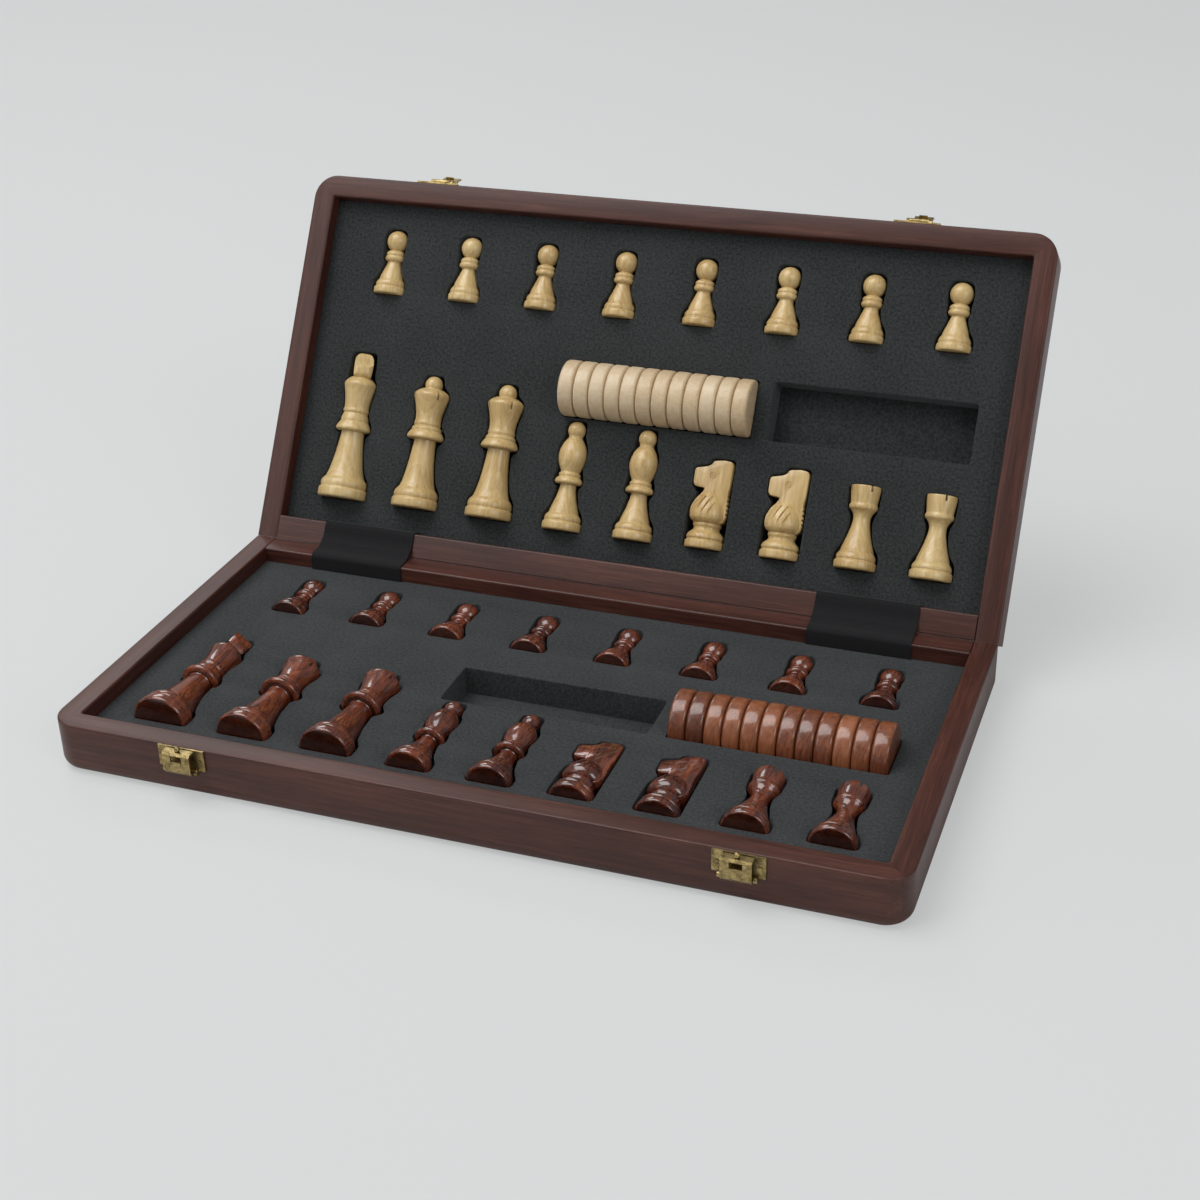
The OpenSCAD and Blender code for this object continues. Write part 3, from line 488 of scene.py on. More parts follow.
def ease(pts, cut=0.22, closed=False, share=0.3):
    """Cuts each corner of a line a little, so that edges catch the light."""
    out = []
    n = len(pts)
    for i, p in enumerate(pts):
        if not closed and i in (0, n - 1):
            out.append(p)
            continue
        a, b = Vector(pts[i - 1]), Vector(pts[(i + 1) % n])
        q = Vector(p)
        da, db = (a - q), (b - q)
        if da.length < 1e-6 or db.length < 1e-6:
            out.append(p)
            continue
        out.append(tuple(q + da * min(cut / da.length, share)))
        out.append(tuple(q + db * min(cut / db.length, share)))
    return out


# ---------------- frames
CORNER_STEPS = 8
OUT_R, IN_R, HINGE_R = 0.9, 1.1, 1.0       # rounds of the rim: outer edge, inner edge, hinge rail
SEAM_W, SEAM_H = 0.3, 0.6                  # rebate along the seam between the halves
SLIT = 0.01                                # gap between the parts of one rail


def section():
    """Section of a rim rail: how far in from the outer face, and the height."""
    return (arc(NOSE, NOSE, NOSE, 270, 180, 14) + arc(OUT_R, RIM - OUT_R, OUT_R, 180, 90, 4)
            + arc(WALL - IN_R, RIM - IN_R, IN_R, 90, 0, 5)
            + [(WALL, PANEL + GLUE), (NOSE, PANEL + GLUE)])


def sweep(stations):
    """Stations are functions from a section point to a place in the tray."""
    sec = section()
    n = len(sec)
    v = [st(a, z) for st in stations for a, z in sec]
    f = []
    for j in range(len(stations) - 1):
        for i in range(n):
            k = (i + 1) % n
            f.append([j * n + i, j * n + k, (j + 1) * n + k, (j + 1) * n + i])
    f.append(list(range(n))[::-1])
    f.append([(len(stations) - 1) * n + i for i in range(n)])
    return v, f


def at_corner(s, sx, t):
    ct, st = math.cos(math.radians(t)), math.sin(math.radians(t))
    return lambda a, z: (sx * (W / 2 - R + (R - a) * st), s * (D - R + (R - a) * ct), z)


def front_rail(s):
    left = [at_corner(s, -1, MITRE * (1 - i / CORNER_STEPS)) for i in range(CORNER_STEPS + 1)]
    right = [at_corner(s, 1, MITRE * i / CORNER_STEPS) for i in range(CORNER_STEPS + 1)]
    return sweep(left + right)


def end_rail(s, sx):
    turns = [90 - MITRE * i / CORNER_STEPS for i in range(CORNER_STEPS + 1)]
    start = [lambda a, z: (sx * (W / 2 - a), s * SEAM, z)]
    return sweep(start + [at_corner(s, sx, t) for t in turns])


def hinge_rail(s):
    """The rail between the end rails, let in for the two hinges."""
    foot = (SEAM, PANEL + GLUE)
    inner = arc(RAIL - HINGE_R, RIM - HINGE_R, HINGE_R, 90, 0, 5) + [(RAIL, PANEL + GLUE)]
    full = [foot, (SEAM, RIM - SEAM_H), (SEAM + SEAM_W, RIM - SEAM_H), (SEAM + SEAM_W, RIM)] + inner
    cut = [foot, (SEAM, HH - KNUCKLE_R)] + arc(0, HH, KNUCKLE_R, -88, -26, 6) \
        + [(LEAF_REACH, RIM - LEAF_SINK), (LEAF_REACH, RIM)] + inner
    half = LEAF / 2 + 0.3
    end = W / 2 - WALL - GLUE
    xs = [-end, -HINGE_X - half, -HINGE_X + half, HINGE_X - half, HINGE_X + half, end]
    parts = []
    for i, outline in enumerate((full, cut, full, cut, full)):
        parts.append(along_x([(s * v, z) for v, z in outline], xs[i] + SLIT, xs[i + 1] - SLIT))
    return join(parts)


for s in (-1, 1):
    tray_piece(s, "front_rail", front_rail(s), "rail_x", "frame")
    for sx, side in ((-1, "left"), (1, "right")):
        tray_piece(s, f"{side}_rail", end_rail(s, sx), "rail_y", "frame")
    tray_piece(s, "hinge_rail", hinge_rail(s), "rail_x", "frame")


# ---------------- board face
def corner_pts(t0, t1):
    """Rounded corner of the veneer, from one angle to another."""
    r = R - NOSE - GLUE
    angles = [math.radians(t0 + (t1 - t0) * i / CORNER_STEPS) for i in range(CORNER_STEPS + 1)]
    return [(W / 2 - R + r * math.sin(t), D - R + r * math.cos(t)) for t in angles]


def mirrored(pts):
    return [(-x, y) for x, y in pts[::-1]]


def flat(s, pts):
    """A piece of veneer, from its outline in the lid's half."""
    return prism([(x, s * y) for x, y in pts], 0.0, VENEER)


def squares(s, light):
    """All squares of one colour in one half, and a tint for each of their faces."""
    parts, tints = [], []
    for c in range(8):
        for r in range(4):
            if (c + r + (s > 0)) % 2 != light:
                x0, x1 = (c - 4) * SQ + GLUE, (c - 3) * SQ - GLUE
                v0, v1 = (SEAM if r == 0 else r * SQ + GLUE), (r + 1) * SQ - GLUE
                part = flat(s, [(x0, v0), (x1, v0), (x1, v1), (x0, v1)])
                parts.append(part)
                tints += [rnd.random()] * len(part[1])
    return join(parts), tints


def inlaid_line(s, inset):
    """The line around three sides of one half's squares, in three mitred strips."""
    o, f, g = W / 2 - EDGE - inset, D - EDGE - inset, GLUE / 2
    i, lap = o - LINE, 0.02
    parts = [flat(s, [(-o, f - g), (o, f - g), (i, f - LINE + g), (-i, f - LINE + g)])]
    for sx in (-1, 1):
        parts.append(flat(s, [(sx * o, SEAM), (sx * o, f - g - lap), (sx * i, f - LINE + g - lap),
                              (sx * i, SEAM)]))
    return join(parts)


COLOURS = ((1, "light", "pale", "line_pale", 0, "maple_veneer"),
           (0, "dark", "walnut", "line_dark", LINE, "walnut_veneer"))

for s in (-1, 1):
    front = corner_pts(45, 0)
    pts = front + mirrored(front) + [(-W / 2 + EDGE, D - EDGE), (W / 2 - EDGE, D - EDGE)]
    tray_piece(s, "border_front", flat(s, pts), "border_x", "border")
    pts = [(W / 2 - EDGE, SEAM), (W / 2 - NOSE - GLUE, SEAM)] + corner_pts(90, 45.2) \
        + [(W / 2 - EDGE, D - EDGE - 0.05)]
    sides = join([flat(s, [(sx * x, y) for x, y in pts]) for sx in (-1, 1)])
    tray_piece(s, "border_ends", sides, "border_y", "border")
    for light, which, mat, line, inset, slot in COLOURS:
        solid, tints = squares(s, light)
        tray_piece(s, f"{which}_squares", solid, mat, f"{which}_inlay", tints)
        tray_piece(s, f"{which}_line", inlaid_line(s, inset), line, f"{which}_inlay")


# ---------------- men
# turned men as radius and height, from the foot up
KING = [
    (0, 0), (12.1, 0), (12.75, 0.9), (12.75, 4.3), (12.3, 5), (11.7, 5.35), (12, 6), (12.15, 7.3),
    (11.8, 8.7), (10.9, 9.9), (10, 10.8), (9.1, 13.6), (8.1, 18), (7.2, 23), (6.5, 28), (6, 32),
    (5.8, 34.6), (8.5, 35.1), (9.1, 35.8), (9, 36.7), (8.3, 38.2), (7.5, 39.6), (7.1, 40),
    (7.3, 40.6), (7, 42), (6.5, 43.6), (6.1, 44.2), (6.6, 44.8), (6.8, 45.6), (6.4, 46.6),
    (6.4, 48), (6.7, 51), (7.3, 54.4), (8.1, 57.6), (8.4, 58.9), (8.1, 60), (6.8, 61.6),
    (5.2, 62.9), (4.2, 63.4), (0, 63.6)]
QUEEN = [
    (0, 0), (11.4, 0), (12, 0.8), (12, 4.1), (11.5, 4.8), (11, 5.1), (11.3, 5.8), (11.4, 7),
    (11, 8.4), (10.1, 9.6), (9.3, 10.4), (8.4, 13.2), (7.5, 17.6), (6.7, 22.6), (6.1, 28),
    (5.7, 32.5), (5.6, 35), (9, 35.4), (9.6, 36.1), (9.5, 37), (8.8, 38.4), (8.1, 39.4),
    (7.6, 39.8), (7.8, 40.3), (7.6, 41.2), (6.9, 41.9), (6.6, 42.2), (6.9, 42.8), (7, 43.6),
    (6.7, 44.4), (6.6, 46), (6.9, 49), (7.6, 52), (8.4, 54.8), (9.1, 57), (9.25, 58), (8.8, 59),
    (7.4, 60.2), (5.6, 61.2)] \
    + arc(0, 63.5, 4.5, -25, 90, 12)
BISHOP = [
    (0, 0), (9.5, 0), (10, 0.8), (10, 3.5), (9.5, 4.2), (9, 4.5), (9.3, 5.2), (9.3, 6.2),
    (8.7, 7.4), (7.9, 8.2), (7.5, 8.7), (7.4, 9.6), (6.5, 12.4), (5.3, 16), (4.3, 20), (3.9, 23),
    (6.5, 23.4), (7.1, 24.1), (7, 25), (6.4, 26), (5.6, 26.7), (5.3, 27.1), (5.6, 27.7),
    (5.5, 28.5), (4.8, 29), (4.7, 29.5), (6, 32), (6.9, 35), (7.15, 37.5), (6.8, 40.2),
    (5.7, 43.2), (4.3, 45.4), (3.5, 46.4)] \
    + arc(0, 50.3, 4.5, -38, 90, 14)
ROOK = [
    (0, 0), (9.6, 0), (10.15, 0.8), (10.15, 3.5), (9.6, 4.2), (9.1, 4.5), (9.5, 5.2), (9.4, 6.2),
    (8.8, 7.4), (8.2, 8.2), (7.9, 8.6), (7.8, 9.6), (6.8, 12.6), (5.5, 16.6), (4.5, 20.6),
    (4.1, 23.2), (4.1, 25), (4.6, 26.6), (5.7, 28.2), (6.7, 29), (6.9, 29.6), (6.9, 30.6),
    (6.4, 31.3), (6.5, 32.4), (6.9, 35.6), (7.25, 39.3), (7, 40), (5.1, 40), (4.9, 36), (0, 36)]
PAWN = [
    (0, 0), (8, 0), (8.5, 0.7), (8.5, 3.1), (8, 3.7), (7.6, 3.9), (7.9, 4.6), (7.8, 5.5),
    (7.3, 6.6), (6.8, 7.2), (6.5, 7.6), (6.4, 8.4), (5.9, 10.2), (4.9, 12.8), (3.9, 15.4),
    (3.4, 17.2), (4.6, 17.5), (5.2, 18.2), (5.3, 19.1), (4.9, 19.9), (4.6, 20.2), (4.9, 20.6),
    (4.9, 21.5), (4.4, 22.2), (3.6, 22.8)] + arc(0, 27.9, 5.6, -60, 90, 16)
KNIGHT = [
    (0, 0), (9.3, 0), (9.8, 0.8), (9.8, 3.4), (9.2, 4.1), (8.8, 4.4), (9.3, 5), (9.4, 5.8),
    (8.7, 7.2), (7.4, 8.4), (6.5, 9.2), (6.4, 10.4), (7, 11.2), (7.05, 12.2), (6.6, 13), (0, 13)]
# the knight's head and neck, seen from its side
KNIGHT_HEAD = [
    (-6.6, 12.6), (-8.5, 14.6), (-9, 17.4), (-8.7, 20.2), (-7, 23.9), (-4.6, 26.6), (-3.3, 28.6),
    (-3.5, 29.5), (-8.2, 29.8), (-9.4, 31.4), (-9.5, 37.6), (-8.9, 38.9), (-3, 40.2), (-1.2, 41.4),
    (-0.6, 43), (4.7, 43.8), (8.7, 43.3), (9.6, 41.4), (9.4, 30.5), (8.9, 28.2), (9.7, 20),
    (9.6, 16.4), (8.5, 13.6), (6.6, 12.6)]


def lathe(profile, n=72):
    """Turned solid."""
    pts = ease(profile)
    if pts[-1][0] > 1e-4:
        pts.append((0, pts[-1][1]))
    v, rings = [], []
    for r, h in pts:
        if r < 1e-4:
            rings.append([len(v)])
            v.append((0, 0, h))
        else:
            rings.append(list(range(len(v), len(v) + n)))
            for i in range(n):
                a = 2 * math.pi * i / n
                v.append((r * math.cos(a), r * math.sin(a), h))
    f = []
    for a, b in zip(rings, rings[1:]):
        for i in range(n):
            j = (i + 1) % n
            if len(a) == 1 and len(b) == 1:
                break
            if len(a) == 1:
                f.append([a[0], b[j], b[i]])
            elif len(b) == 1:
                f.append([a[i], a[j], b[0]])
            else:
                f.append([a[i], a[j], b[j], b[i]])
    return v, f


def cut_with(me, cutters, how="DIFFERENCE"):
    """Boolean cuts, made once for each kind of man."""
    o = new_object("cut_target", me)
    for i, c in enumerate(cutters):
        k = new_object(f"cutter_{i}", c)
        m = o.modifiers.new("cut", "BOOLEAN")
        m.operation, m.solver, m.object = how, "EXACT", k
        bpy.context.view_layer.update()
        dg = bpy.context.evaluated_depsgraph_get()
        new = bpy.data.meshes.new_from_object(o.evaluated_get(dg))
        o.modifiers.clear()
        o.data = new
        bpy.data.objects.remove(k)
    out = o.data
    bpy.data.objects.remove(o)
    sharpen(out, CARVED)
    return out


def moved(v, matrix):
    return [tuple(matrix @ Vector(p)) for p in v]


def both(half):
    """An outline from its right half."""
    return half + [(-a, b) for a, b in half[::-1]]


def rounded(pts, cuts=((1.4, 0.33), (0.6, 0.3))):
    """A closed outline with its corners cut twice."""
    for cut, share in cuts:
        pts = ease(pts, cut, True, share)
    return pts


def merged(name, *meshes):
    """Several closed solids as one mesh."""
    bm = bmesh.new()
    for part in meshes:
        bm.from_mesh(part)
    me = bpy.data.meshes.new(name)
    bm.to_mesh(me)
    bm.free()
    sharpen(me, CARVED)
    return me


def saw_cuts(r0, r1, z0, z1):
    """Cutter for four narrow cuts through a rim, at right angles to each other."""
    half = 0.6
    parts = []
    for angle in (0, 90, 180, 270):
        v, f = prism([(r0, -half), (r1, -half), (r1, half), (r0, half)], z0, z1)
        parts.append((moved(v, turn(angle, "Z")), f))
    return make_mesh("saw_cuts", *join(parts))


def king_mesh():
    """Turned body with a flat finial: a broad and a thin outline crossed, its edges rounded."""
    broad = [(4.4, 62.4), (6.3, 64), (6.6, 66.4), (6.2, 68.6), (4.9, 69.5), (4.7, 70.6),
             (4.6, 72.8), (3.6, 74.6), (1.8, 75.5)]
    thin = [(4.2, 62.4), (4.7, 65), (4.8, 71.5), (4.2, 73.6), (2.6, 75.2), (1.5, 75.5)]
    upright = [(0, 62), (7, 62), (7, 68.5), (6.3, 73), (4.8, 76), (0, 76)]
    finial = make_mesh("finial", *along_x(rounded(both(broad), ((0.7, 0.33), (0.35, 0.3))), -6, 6))
    v, f = along_x(rounded(both(thin), ((0.9, 0.33), (0.45, 0.3))), -8, 8)
    trim = make_mesh("finial_trim", [(y, x, z) for x, y, z in v], f)
    finial = cut_with(finial, [trim, make_mesh("finial_round", *lathe(upright))], "INTERSECT")
    return merged("king", finial, make_mesh("king_turned", *lathe(KING)))


def queen_mesh():
    return cut_with(make_mesh("queen", *lathe(QUEEN, 80)), [saw_cuts(6.9, 10.5, 55.4, 61.5)])


def rook_mesh():
    return cut_with(make_mesh("rook", *lathe(ROOK, 80)), [saw_cuts(4.2, 8.5, 37.2, 41)])


def bishop_mesh():
    """Turned body with a slanting saw cut in its head."""
    deep, thick, reach = 9, 1.2, 9
    v, f = along_x([(0, 0), (deep, 0), (deep, thick), (0, thick)], -reach, reach)
    m = Matrix.Translation((0, -10.2, 40.8)) @ turn(-38, "X")
    return cut_with(make_mesh("bishop", *lathe(BISHOP)), [make_mesh("slit", moved(v, m), f)])


CHEST = [(0, 12.5), (6.4, 12.5), (8.2, 13.4), (9.2, 14.9), (9.4, 16.8), (9.0, 19.4), (8.0, 22.2),
         (6.4, 25), (4.6, 27.4), (3.6, 28.6), (0, 28.6)]
HEAD_HALF = 4.0                    # half the head's thickness
EYE_X, EYE_Z = 0.2, 35.8
NOTCHES, FLUTES = 5, 4


def knight_slab(outline, half, soft):
    """The knight's outline as a slab across y, its edges eased by soft."""
    n = len(outline)
    rings = [(soft, -half), (soft * 0.3, -half + soft * 0.3), (0, -half + soft)]
    rings += [(a, -y) for a, y in rings[::-1]]
    v = []
    for inset, y in rings:
        for i, p in enumerate(outline):
            a, b = Vector(outline[i - 1]), Vector(outline[(i + 1) % n])
            t = (b - a).normalized()
            q = Vector(p) - Vector((t.y, -t.x)) * inset
            v.append((q.x, y, q.y))
    f = []
    for k in range(len(rings) - 1):
        for i in range(n):
            j = (i + 1) % n
            f.append([k * n + i, k * n + j, (k + 1) * n + j, (k + 1) * n + i])
    f += [list(range(n)), list(range((len(rings) - 1) * n, len(rings) * n))[::-1]]
    return v, f


def eye(y):
    """Cutters for a drilled eye: a ring and its middle."""
    ring, faces, n = [], [], 28
    for i in range(n):
        a = 2 * math.pi * i / n
        for r, dy in ((1.7, 0.3), (1.7, -0.3), (1.1, -0.3), (1.1, 0.3)):
            ring.append((EYE_X + r * math.cos(a), y + dy, EYE_Z + r * math.sin(a)))
    for i in range(n):
        j = (i + 1) % n
        for q in range(4):
            w = (q + 1) % 4
            faces.append([i * 4 + q, i * 4 + w, j * 4 + w, j * 4 + q])
    dot, dot_faces = prism(arc(0, 0, 0.5, 0, 337.5, 15), -0.3, 0.3)
    dot = moved(dot, Matrix.Translation((EYE_X, y, EYE_Z)) @ turn(90, "X"))
    return join([(ring, faces), (dot, dot_faces)])


def mane_cutter():
    """A row of slanting notches up the back of the neck."""
    parts = []
    for i in range(NOTCHES):
        v, f = prism([(0, -11), (2.6, -11), (2.6, 11), (0, 11)], 0, 0.7)
        place = Matrix.Translation((9.0 - 0.08 * i, 0, 17.6 + 2.2 * i))
        parts.append((moved(v, place @ turn(35, "Y")), f))
    return make_mesh("mane", *join(parts))


def flute_cutter():
    """Slanting flutes on both sides of the chest."""
    w, d, h = 0.5, 3.0, 5.6
    parts = []
    for side in (-1, 1):
        for i in range(FLUTES):
            v, f = prism([(-w, 0.6 - d), (0, -d), (w, 0.6 - d), (w, d), (-w, d)], -h, h)
            place = Matrix.Translation((-6.6 + 3.3 * i, side * (10.3 - 0.25 * abs(i - 1.7)), 21.5))
            m = place @ turn(side * 24, "X") @ turn(22, "Y")
            if side < 0:
                m = m @ turn(180, "Z")
            parts.append((moved(v, m), f))
    return make_mesh("flutes", *join(parts))


def knight_mesh():
    """Turned foot, round fluted chest and a flat head with ringed eyes and a notched mane."""
    outline = ease(ease(KNIGHT_HEAD[::-1], 0.6, True), 0.3, True)
    mane, flutes = mane_cutter(), flute_cutter()
    eyes = make_mesh("eyes", *join([eye(-HEAD_HALF), eye(HEAD_HALF)]))
    head = cut_with(make_mesh("knight_head", *knight_slab(outline, HEAD_HALF, 0.7)), [eyes, mane])
    trim = make_mesh("knight_trim", *knight_slab(outline, 10, 0.1))
    chest = cut_with(make_mesh("knight_chest", *lathe(CHEST, 64)), [trim], "INTERSECT")
    chest = cut_with(chest, [flutes, mane])
    return merged("knight", head, chest, make_mesh("knight_foot", *lathe(KNIGHT)))


KINDS = {
    "king": king_mesh(),
    "queen": queen_mesh(),
    "bishop": bishop_mesh(),
    "knight": knight_mesh(),
    "rook": rook_mesh(),
    "pawn": make_mesh("pawn", *lathe(PAWN)),
}


def lay(s, x, v, d):
    """Place of a man on its back: its foot at x and v, its axis d below the rim."""
    y = s * (v if s > 0 else D - v)
    return TRAY[s] @ Matrix.Translation(Vector((x, y, HH - d)) * MM) @ turn(-90, "X")


# name, kind, place across and along, and depth of the axis
MEN = [("king", "king", BIG_X[0], BIG_V, KING_D)]
MEN += [(f"queen_{i}", "queen", BIG_X[i], BIG_V, KING_D) for i in (1, 2)]
MEN += [(f"bishop_{i}", "bishop", BIG_X[i + 2], BIG_V - 0.8, BISHOP_D) for i in (1, 2)]
MEN += [(f"knight_{i}", "knight", BIG_X[i + 4], BIG_V, KNIGHT_D) for i in (1, 2)]
MEN += [(f"rook_{i}", "rook", BIG_X[i + 6], BIG_V, ROOK_D) for i in (1, 2)]
MEN += [(f"pawn_{i}", "pawn", PAWN_X0 + PAWN_STEP * (i - 1), PAWN_V, PAWN_D) for i in range(1, 9)]

# how far each kind is turned about its own axis, in degrees, give or take LOOSE but for the kings
TURNS = {"queen": 44, "bishop": 172, "knight": 0, "rook": 28, "pawn": 40}
KING_TURN = {1: 25, -1: 41}
LOOSE = 6
SETS = ((1, "light", "boxwood", "boxwood"), (-1, "dark", "red", "dark_stained_wood"))

for s, colour, mat, slot in SETS:
    for name, kind, x, v, d in MEN:
        node = f"{colour}_{name}"
        wobble = rnd.uniform(-LOOSE, LOOSE)
        me = KINDS[kind].copy()
        me.transform(turn(KING_TURN[s] if kind == "king" else TURNS[kind] + wobble, "Z"))
        add(f"{node}_carved", me, M[mat], node, lay(s, x, v, d), node)


DISC_EDGE = [(12.2, 0), (13.3, 0.4), (13.8, 0.9), (DISC_R, 1.5)]
DISC = [(0, 0)] + DISC_EDGE + [(r, DISC_T - h) for r, h in DISC_EDGE[::-1]] + [(0, DISC_T)]
for s, colour, mat, slot, x in ((1, "light", "disc_pale", "boxwood", SLOT_X[0]),
                                (-1, "dark", "disc_red", "dark_stained_wood", SLOT_X[1])):
    parts, tints = [], []
    for i in range(12):
        v, f = lathe(DISC, 64)
        place = Matrix.Translation((x + (i - 6) * PITCH + 0.025, s * SLOT_V, POCKET_Z + DISC_R))
        rolled = Matrix.Rotation(rnd.random() * 6.28, 4, "Z")
        parts.append((moved(v, place @ turn(90, "Y") @ rolled), f))
        tints += [rnd.random()] * len(f)
    me = make_mesh(f"{colour}_draughts_turned", *join(parts), angle=12)
    tint(me, tints)
    add(f"{colour}_draughts_turned", me, M[mat], f"{colour}_draughts", TRAY[s],
        f"{colour}_draughts")


# ---------------- foam
# pocket outlines as distance from the foot and half width; the knight's as a whole outline
KING_O = [(0, 12.8), (9.4, 12.8), (12.4, 10.2), (23, 7.6), (33.4, 7), (34.4, 9.6), (39, 9.4),
          (42, 7), (50, 7), (56.6, 8.7), (60.4, 8.7), (63, 6.7), (70, 6.7), (76, 6.2)]
QUEEN_O = [(0, 12.1), (9, 12.1), (12.2, 9.4), (22, 7.2), (33.6, 6.6), (35.2, 10.2), (39, 10.2),
           (41.6, 7.2), (48, 7.4), (55.6, 9.4), (59.6, 9.4), (62.4, 5.4), (68, 4.8)]
BISHOP_O = [(0, 10.1), (7.8, 10.1), (11.4, 7), (21.6, 5), (23, 7.4), (27.6, 7.2), (31, 5.8),
            (37, 7.2), (42.4, 7.2), (46.4, 5), (54.8, 4.8)]
ROOK_O = [(0, 10.2), (7.8, 10.2), (11.6, 7), (20, 5), (25.4, 5.2), (28.6, 7), (40, 7.4)]
PAWN_O = [(0, 8.6), (6.6, 8.6), (9.6, 6), (16.4, 4.2), (18, 5.5), (21.6, 5.2), (24.6, 5.8),
          (30.6, 5.8), (33.5, 4.2)]
KNIGHT_O = [(-9.8, 0), (9.8, 0), (9.8, 44), (-1.6, 44), (-1.8, 41), (-9.6, 39.4), (-9.6, 29.4),
            (-6.2, 26.4), (-9.2, 20.6), (-9.8, 12)]
POCKETS = {"king": (KING_O, 12.9), "queen": (QUEEN_O, 12), "bishop": (BISHOP_O, 10),
           "rook": (ROOK_O, 10.15), "pawn": (PAWN_O, 8.5)}    # and the radius of the foot
# eased edge of a pocket: how far out, how far down
LIP = [(0.45, 0.0), (0.2, 0.06), (0.05, 0.25), (0.0, 0.6)]


def grow(pts, by):
    """Moves a closed outline outward along its corners."""
    area = sum(a[0] * b[1] - b[0] * a[1] for a, b in zip(pts, pts[1:] + pts[:1]))
    way = 1 if area > 0 else -1
    out = []
    n = len(pts)
    for i, p in enumerate(pts):
        a, b = Vector(pts[i - 1]), Vector(pts[(i + 1) % n])
        q = Vector(p)
        n1, n2 = (q - a).normalized(), (b - q).normalized()
        o1, o2 = Vector((n1.y, -n1.x)) * way, Vector((n2.y, -n2.x)) * way
        mid = o1 + o2
        if mid.length < 1e-6:
            mid = o1
        mid.normalize()
        out.append(tuple(q + mid * (by / max(mid.dot(o1), 0.6))))
    return out


def holes(s):
    """Every pocket and slot as an outline in the tray and the height of its floor."""
    out = []
    for name, kind, x, v, d in MEN:
        y = s * (v if s > 0 else D - v)
        if kind == "knight":
            pts, floor = KNIGHT_O, POCKET_Z
        else:
            half, r = POCKETS[kind]
            pts = both([(b, a) for a, b in half])
            floor = max(HH - d - r - 0.25, POCKET_Z)
        out.append(([(x + px, y + py) for px, py in rounded(grow(pts, GAP))], floor))
    a, b = SLOT_L / 2, SLOT_W / 2
    for x in SLOT_X:
        y = s * SLOT_V
        pts = [(x - a, y - b), (x + a, y - b), (x + a, y + b), (x - a, y + b)]
        out.append((rounded(pts, ((0.8, 0.3), (0.3, 0.3))), POCKET_Z))
    return out


def inside(p, pts):
    hit = False
    for (x0, y0), (x1, y1) in zip(pts, pts[1:] + pts[:1]):
        if (y0 > p[1]) != (y1 > p[1]) and p[0] < (x1 - x0) * (p[1] - y0) / (y1 - y0) + x0:
            hit = not hit
    return hit


def foam_outline(s):
    """The insert from above, let in for the ends of the two strips."""
    a, near, far = W / 2 - WALL - FIT, RAIL + FIT, D - WALL - FIT
    half, deep = STRIP_W / 2 + 0.2, 1.0
    outer = [(-a, far), (-a, near)]
    for x in (-HINGE_X, HINGE_X):
        outer += [(x - half, near), (x - half, near + deep)]
        outer += [(x + half, near + deep), (x + half, near)]
    outer += [(a, near), (a, far)]
    return [(x, s * y) for x, y in outer]


def foam(s):
    """Foam insert: a top with holes, the pockets under it, the outer wall and the underside."""
    outer = foam_outline(s)
    v, f, flat_pts, edges, rims = [], [], [], [], []

    def loop(pts):
        k = len(flat_pts)
        flat_pts.extend(pts)
        edges.extend((k + i, k + (i + 1) % len(pts)) for i in range(len(pts)))

    def walls(first, n, levels):
        for k in range(first, first + n * levels, n):
            for i in range(n):
                j = (i + 1) % n
                f.append([k + i, k + j, k + n + j, k + n + i])

    loop(outer)
    for pts, floor in holes(s):
        rim = grow(pts, LIP[0][0])
        loop(rim)
        across, up = [p[0] for p in rim], [p[1] for p in rim]
        rims.append((min(across), max(across), min(up), max(up), rim))
        first, n = len(v), len(pts)
        for out, drop in LIP:
            v.extend((x, y, FOAM_Z - drop) for x, y in grow(pts, out))
        v.extend((x, y, floor) for x, y in pts)
        walls(first, n, len(LIP))
        f.append([first + len(LIP) * n + i for i in range(n)])

    co, _, tri, *_rest = delaunay_2d_cdt([Vector(p) for p in flat_pts], edges, [], 1, 1e-5)
    k = len(v)
    v.extend((p.x, p.y, FOAM_Z) for p in co)
    for t in tri:
        cx, cy = sum(co[i].x for i in t) / 3, sum(co[i].y for i in t) / 3
        near = [rim for x0, x1, y0, y1, rim in rims if x0 < cx < x1 and y0 < cy < y1]
        if inside((cx, cy), outer) and not any(inside((cx, cy), rim) for rim in near):
            f.append([k + i for i in t])

    k, m = len(v), len(outer)
    v.extend((x, y, z) for z in (FOAM_Z, PANEL + FIT) for x, y in outer)
    walls(k, m, 1)
    f.append([k + m + i for i in range(m)][::-1])
    me = bpy.data.meshes.new(f"{HALF[s]}_foam_cut")
    me.from_pydata([(x * MM, y * MM, z * MM) for x, y, z in v], [], f)
    bm = bmesh.new()
    bm.from_mesh(me)
    bmesh.ops.remove_doubles(bm, verts=bm.verts, dist=1e-6)
    bm.to_mesh(me)
    bm.free()
    sharpen(me, 40)
    return me


for s in (-1, 1):
    add(f"{HALF[s]}_foam_cut", foam(s), M["foam"], HALF[s], TRAY[s], f"{HALF[s]}_foam")


# ---------------- cloth strips over the hinges
PROUD = 0.45                      # the strip's middle above the rim
CLOTH_T = 0.7
STRIP_COLS = 24


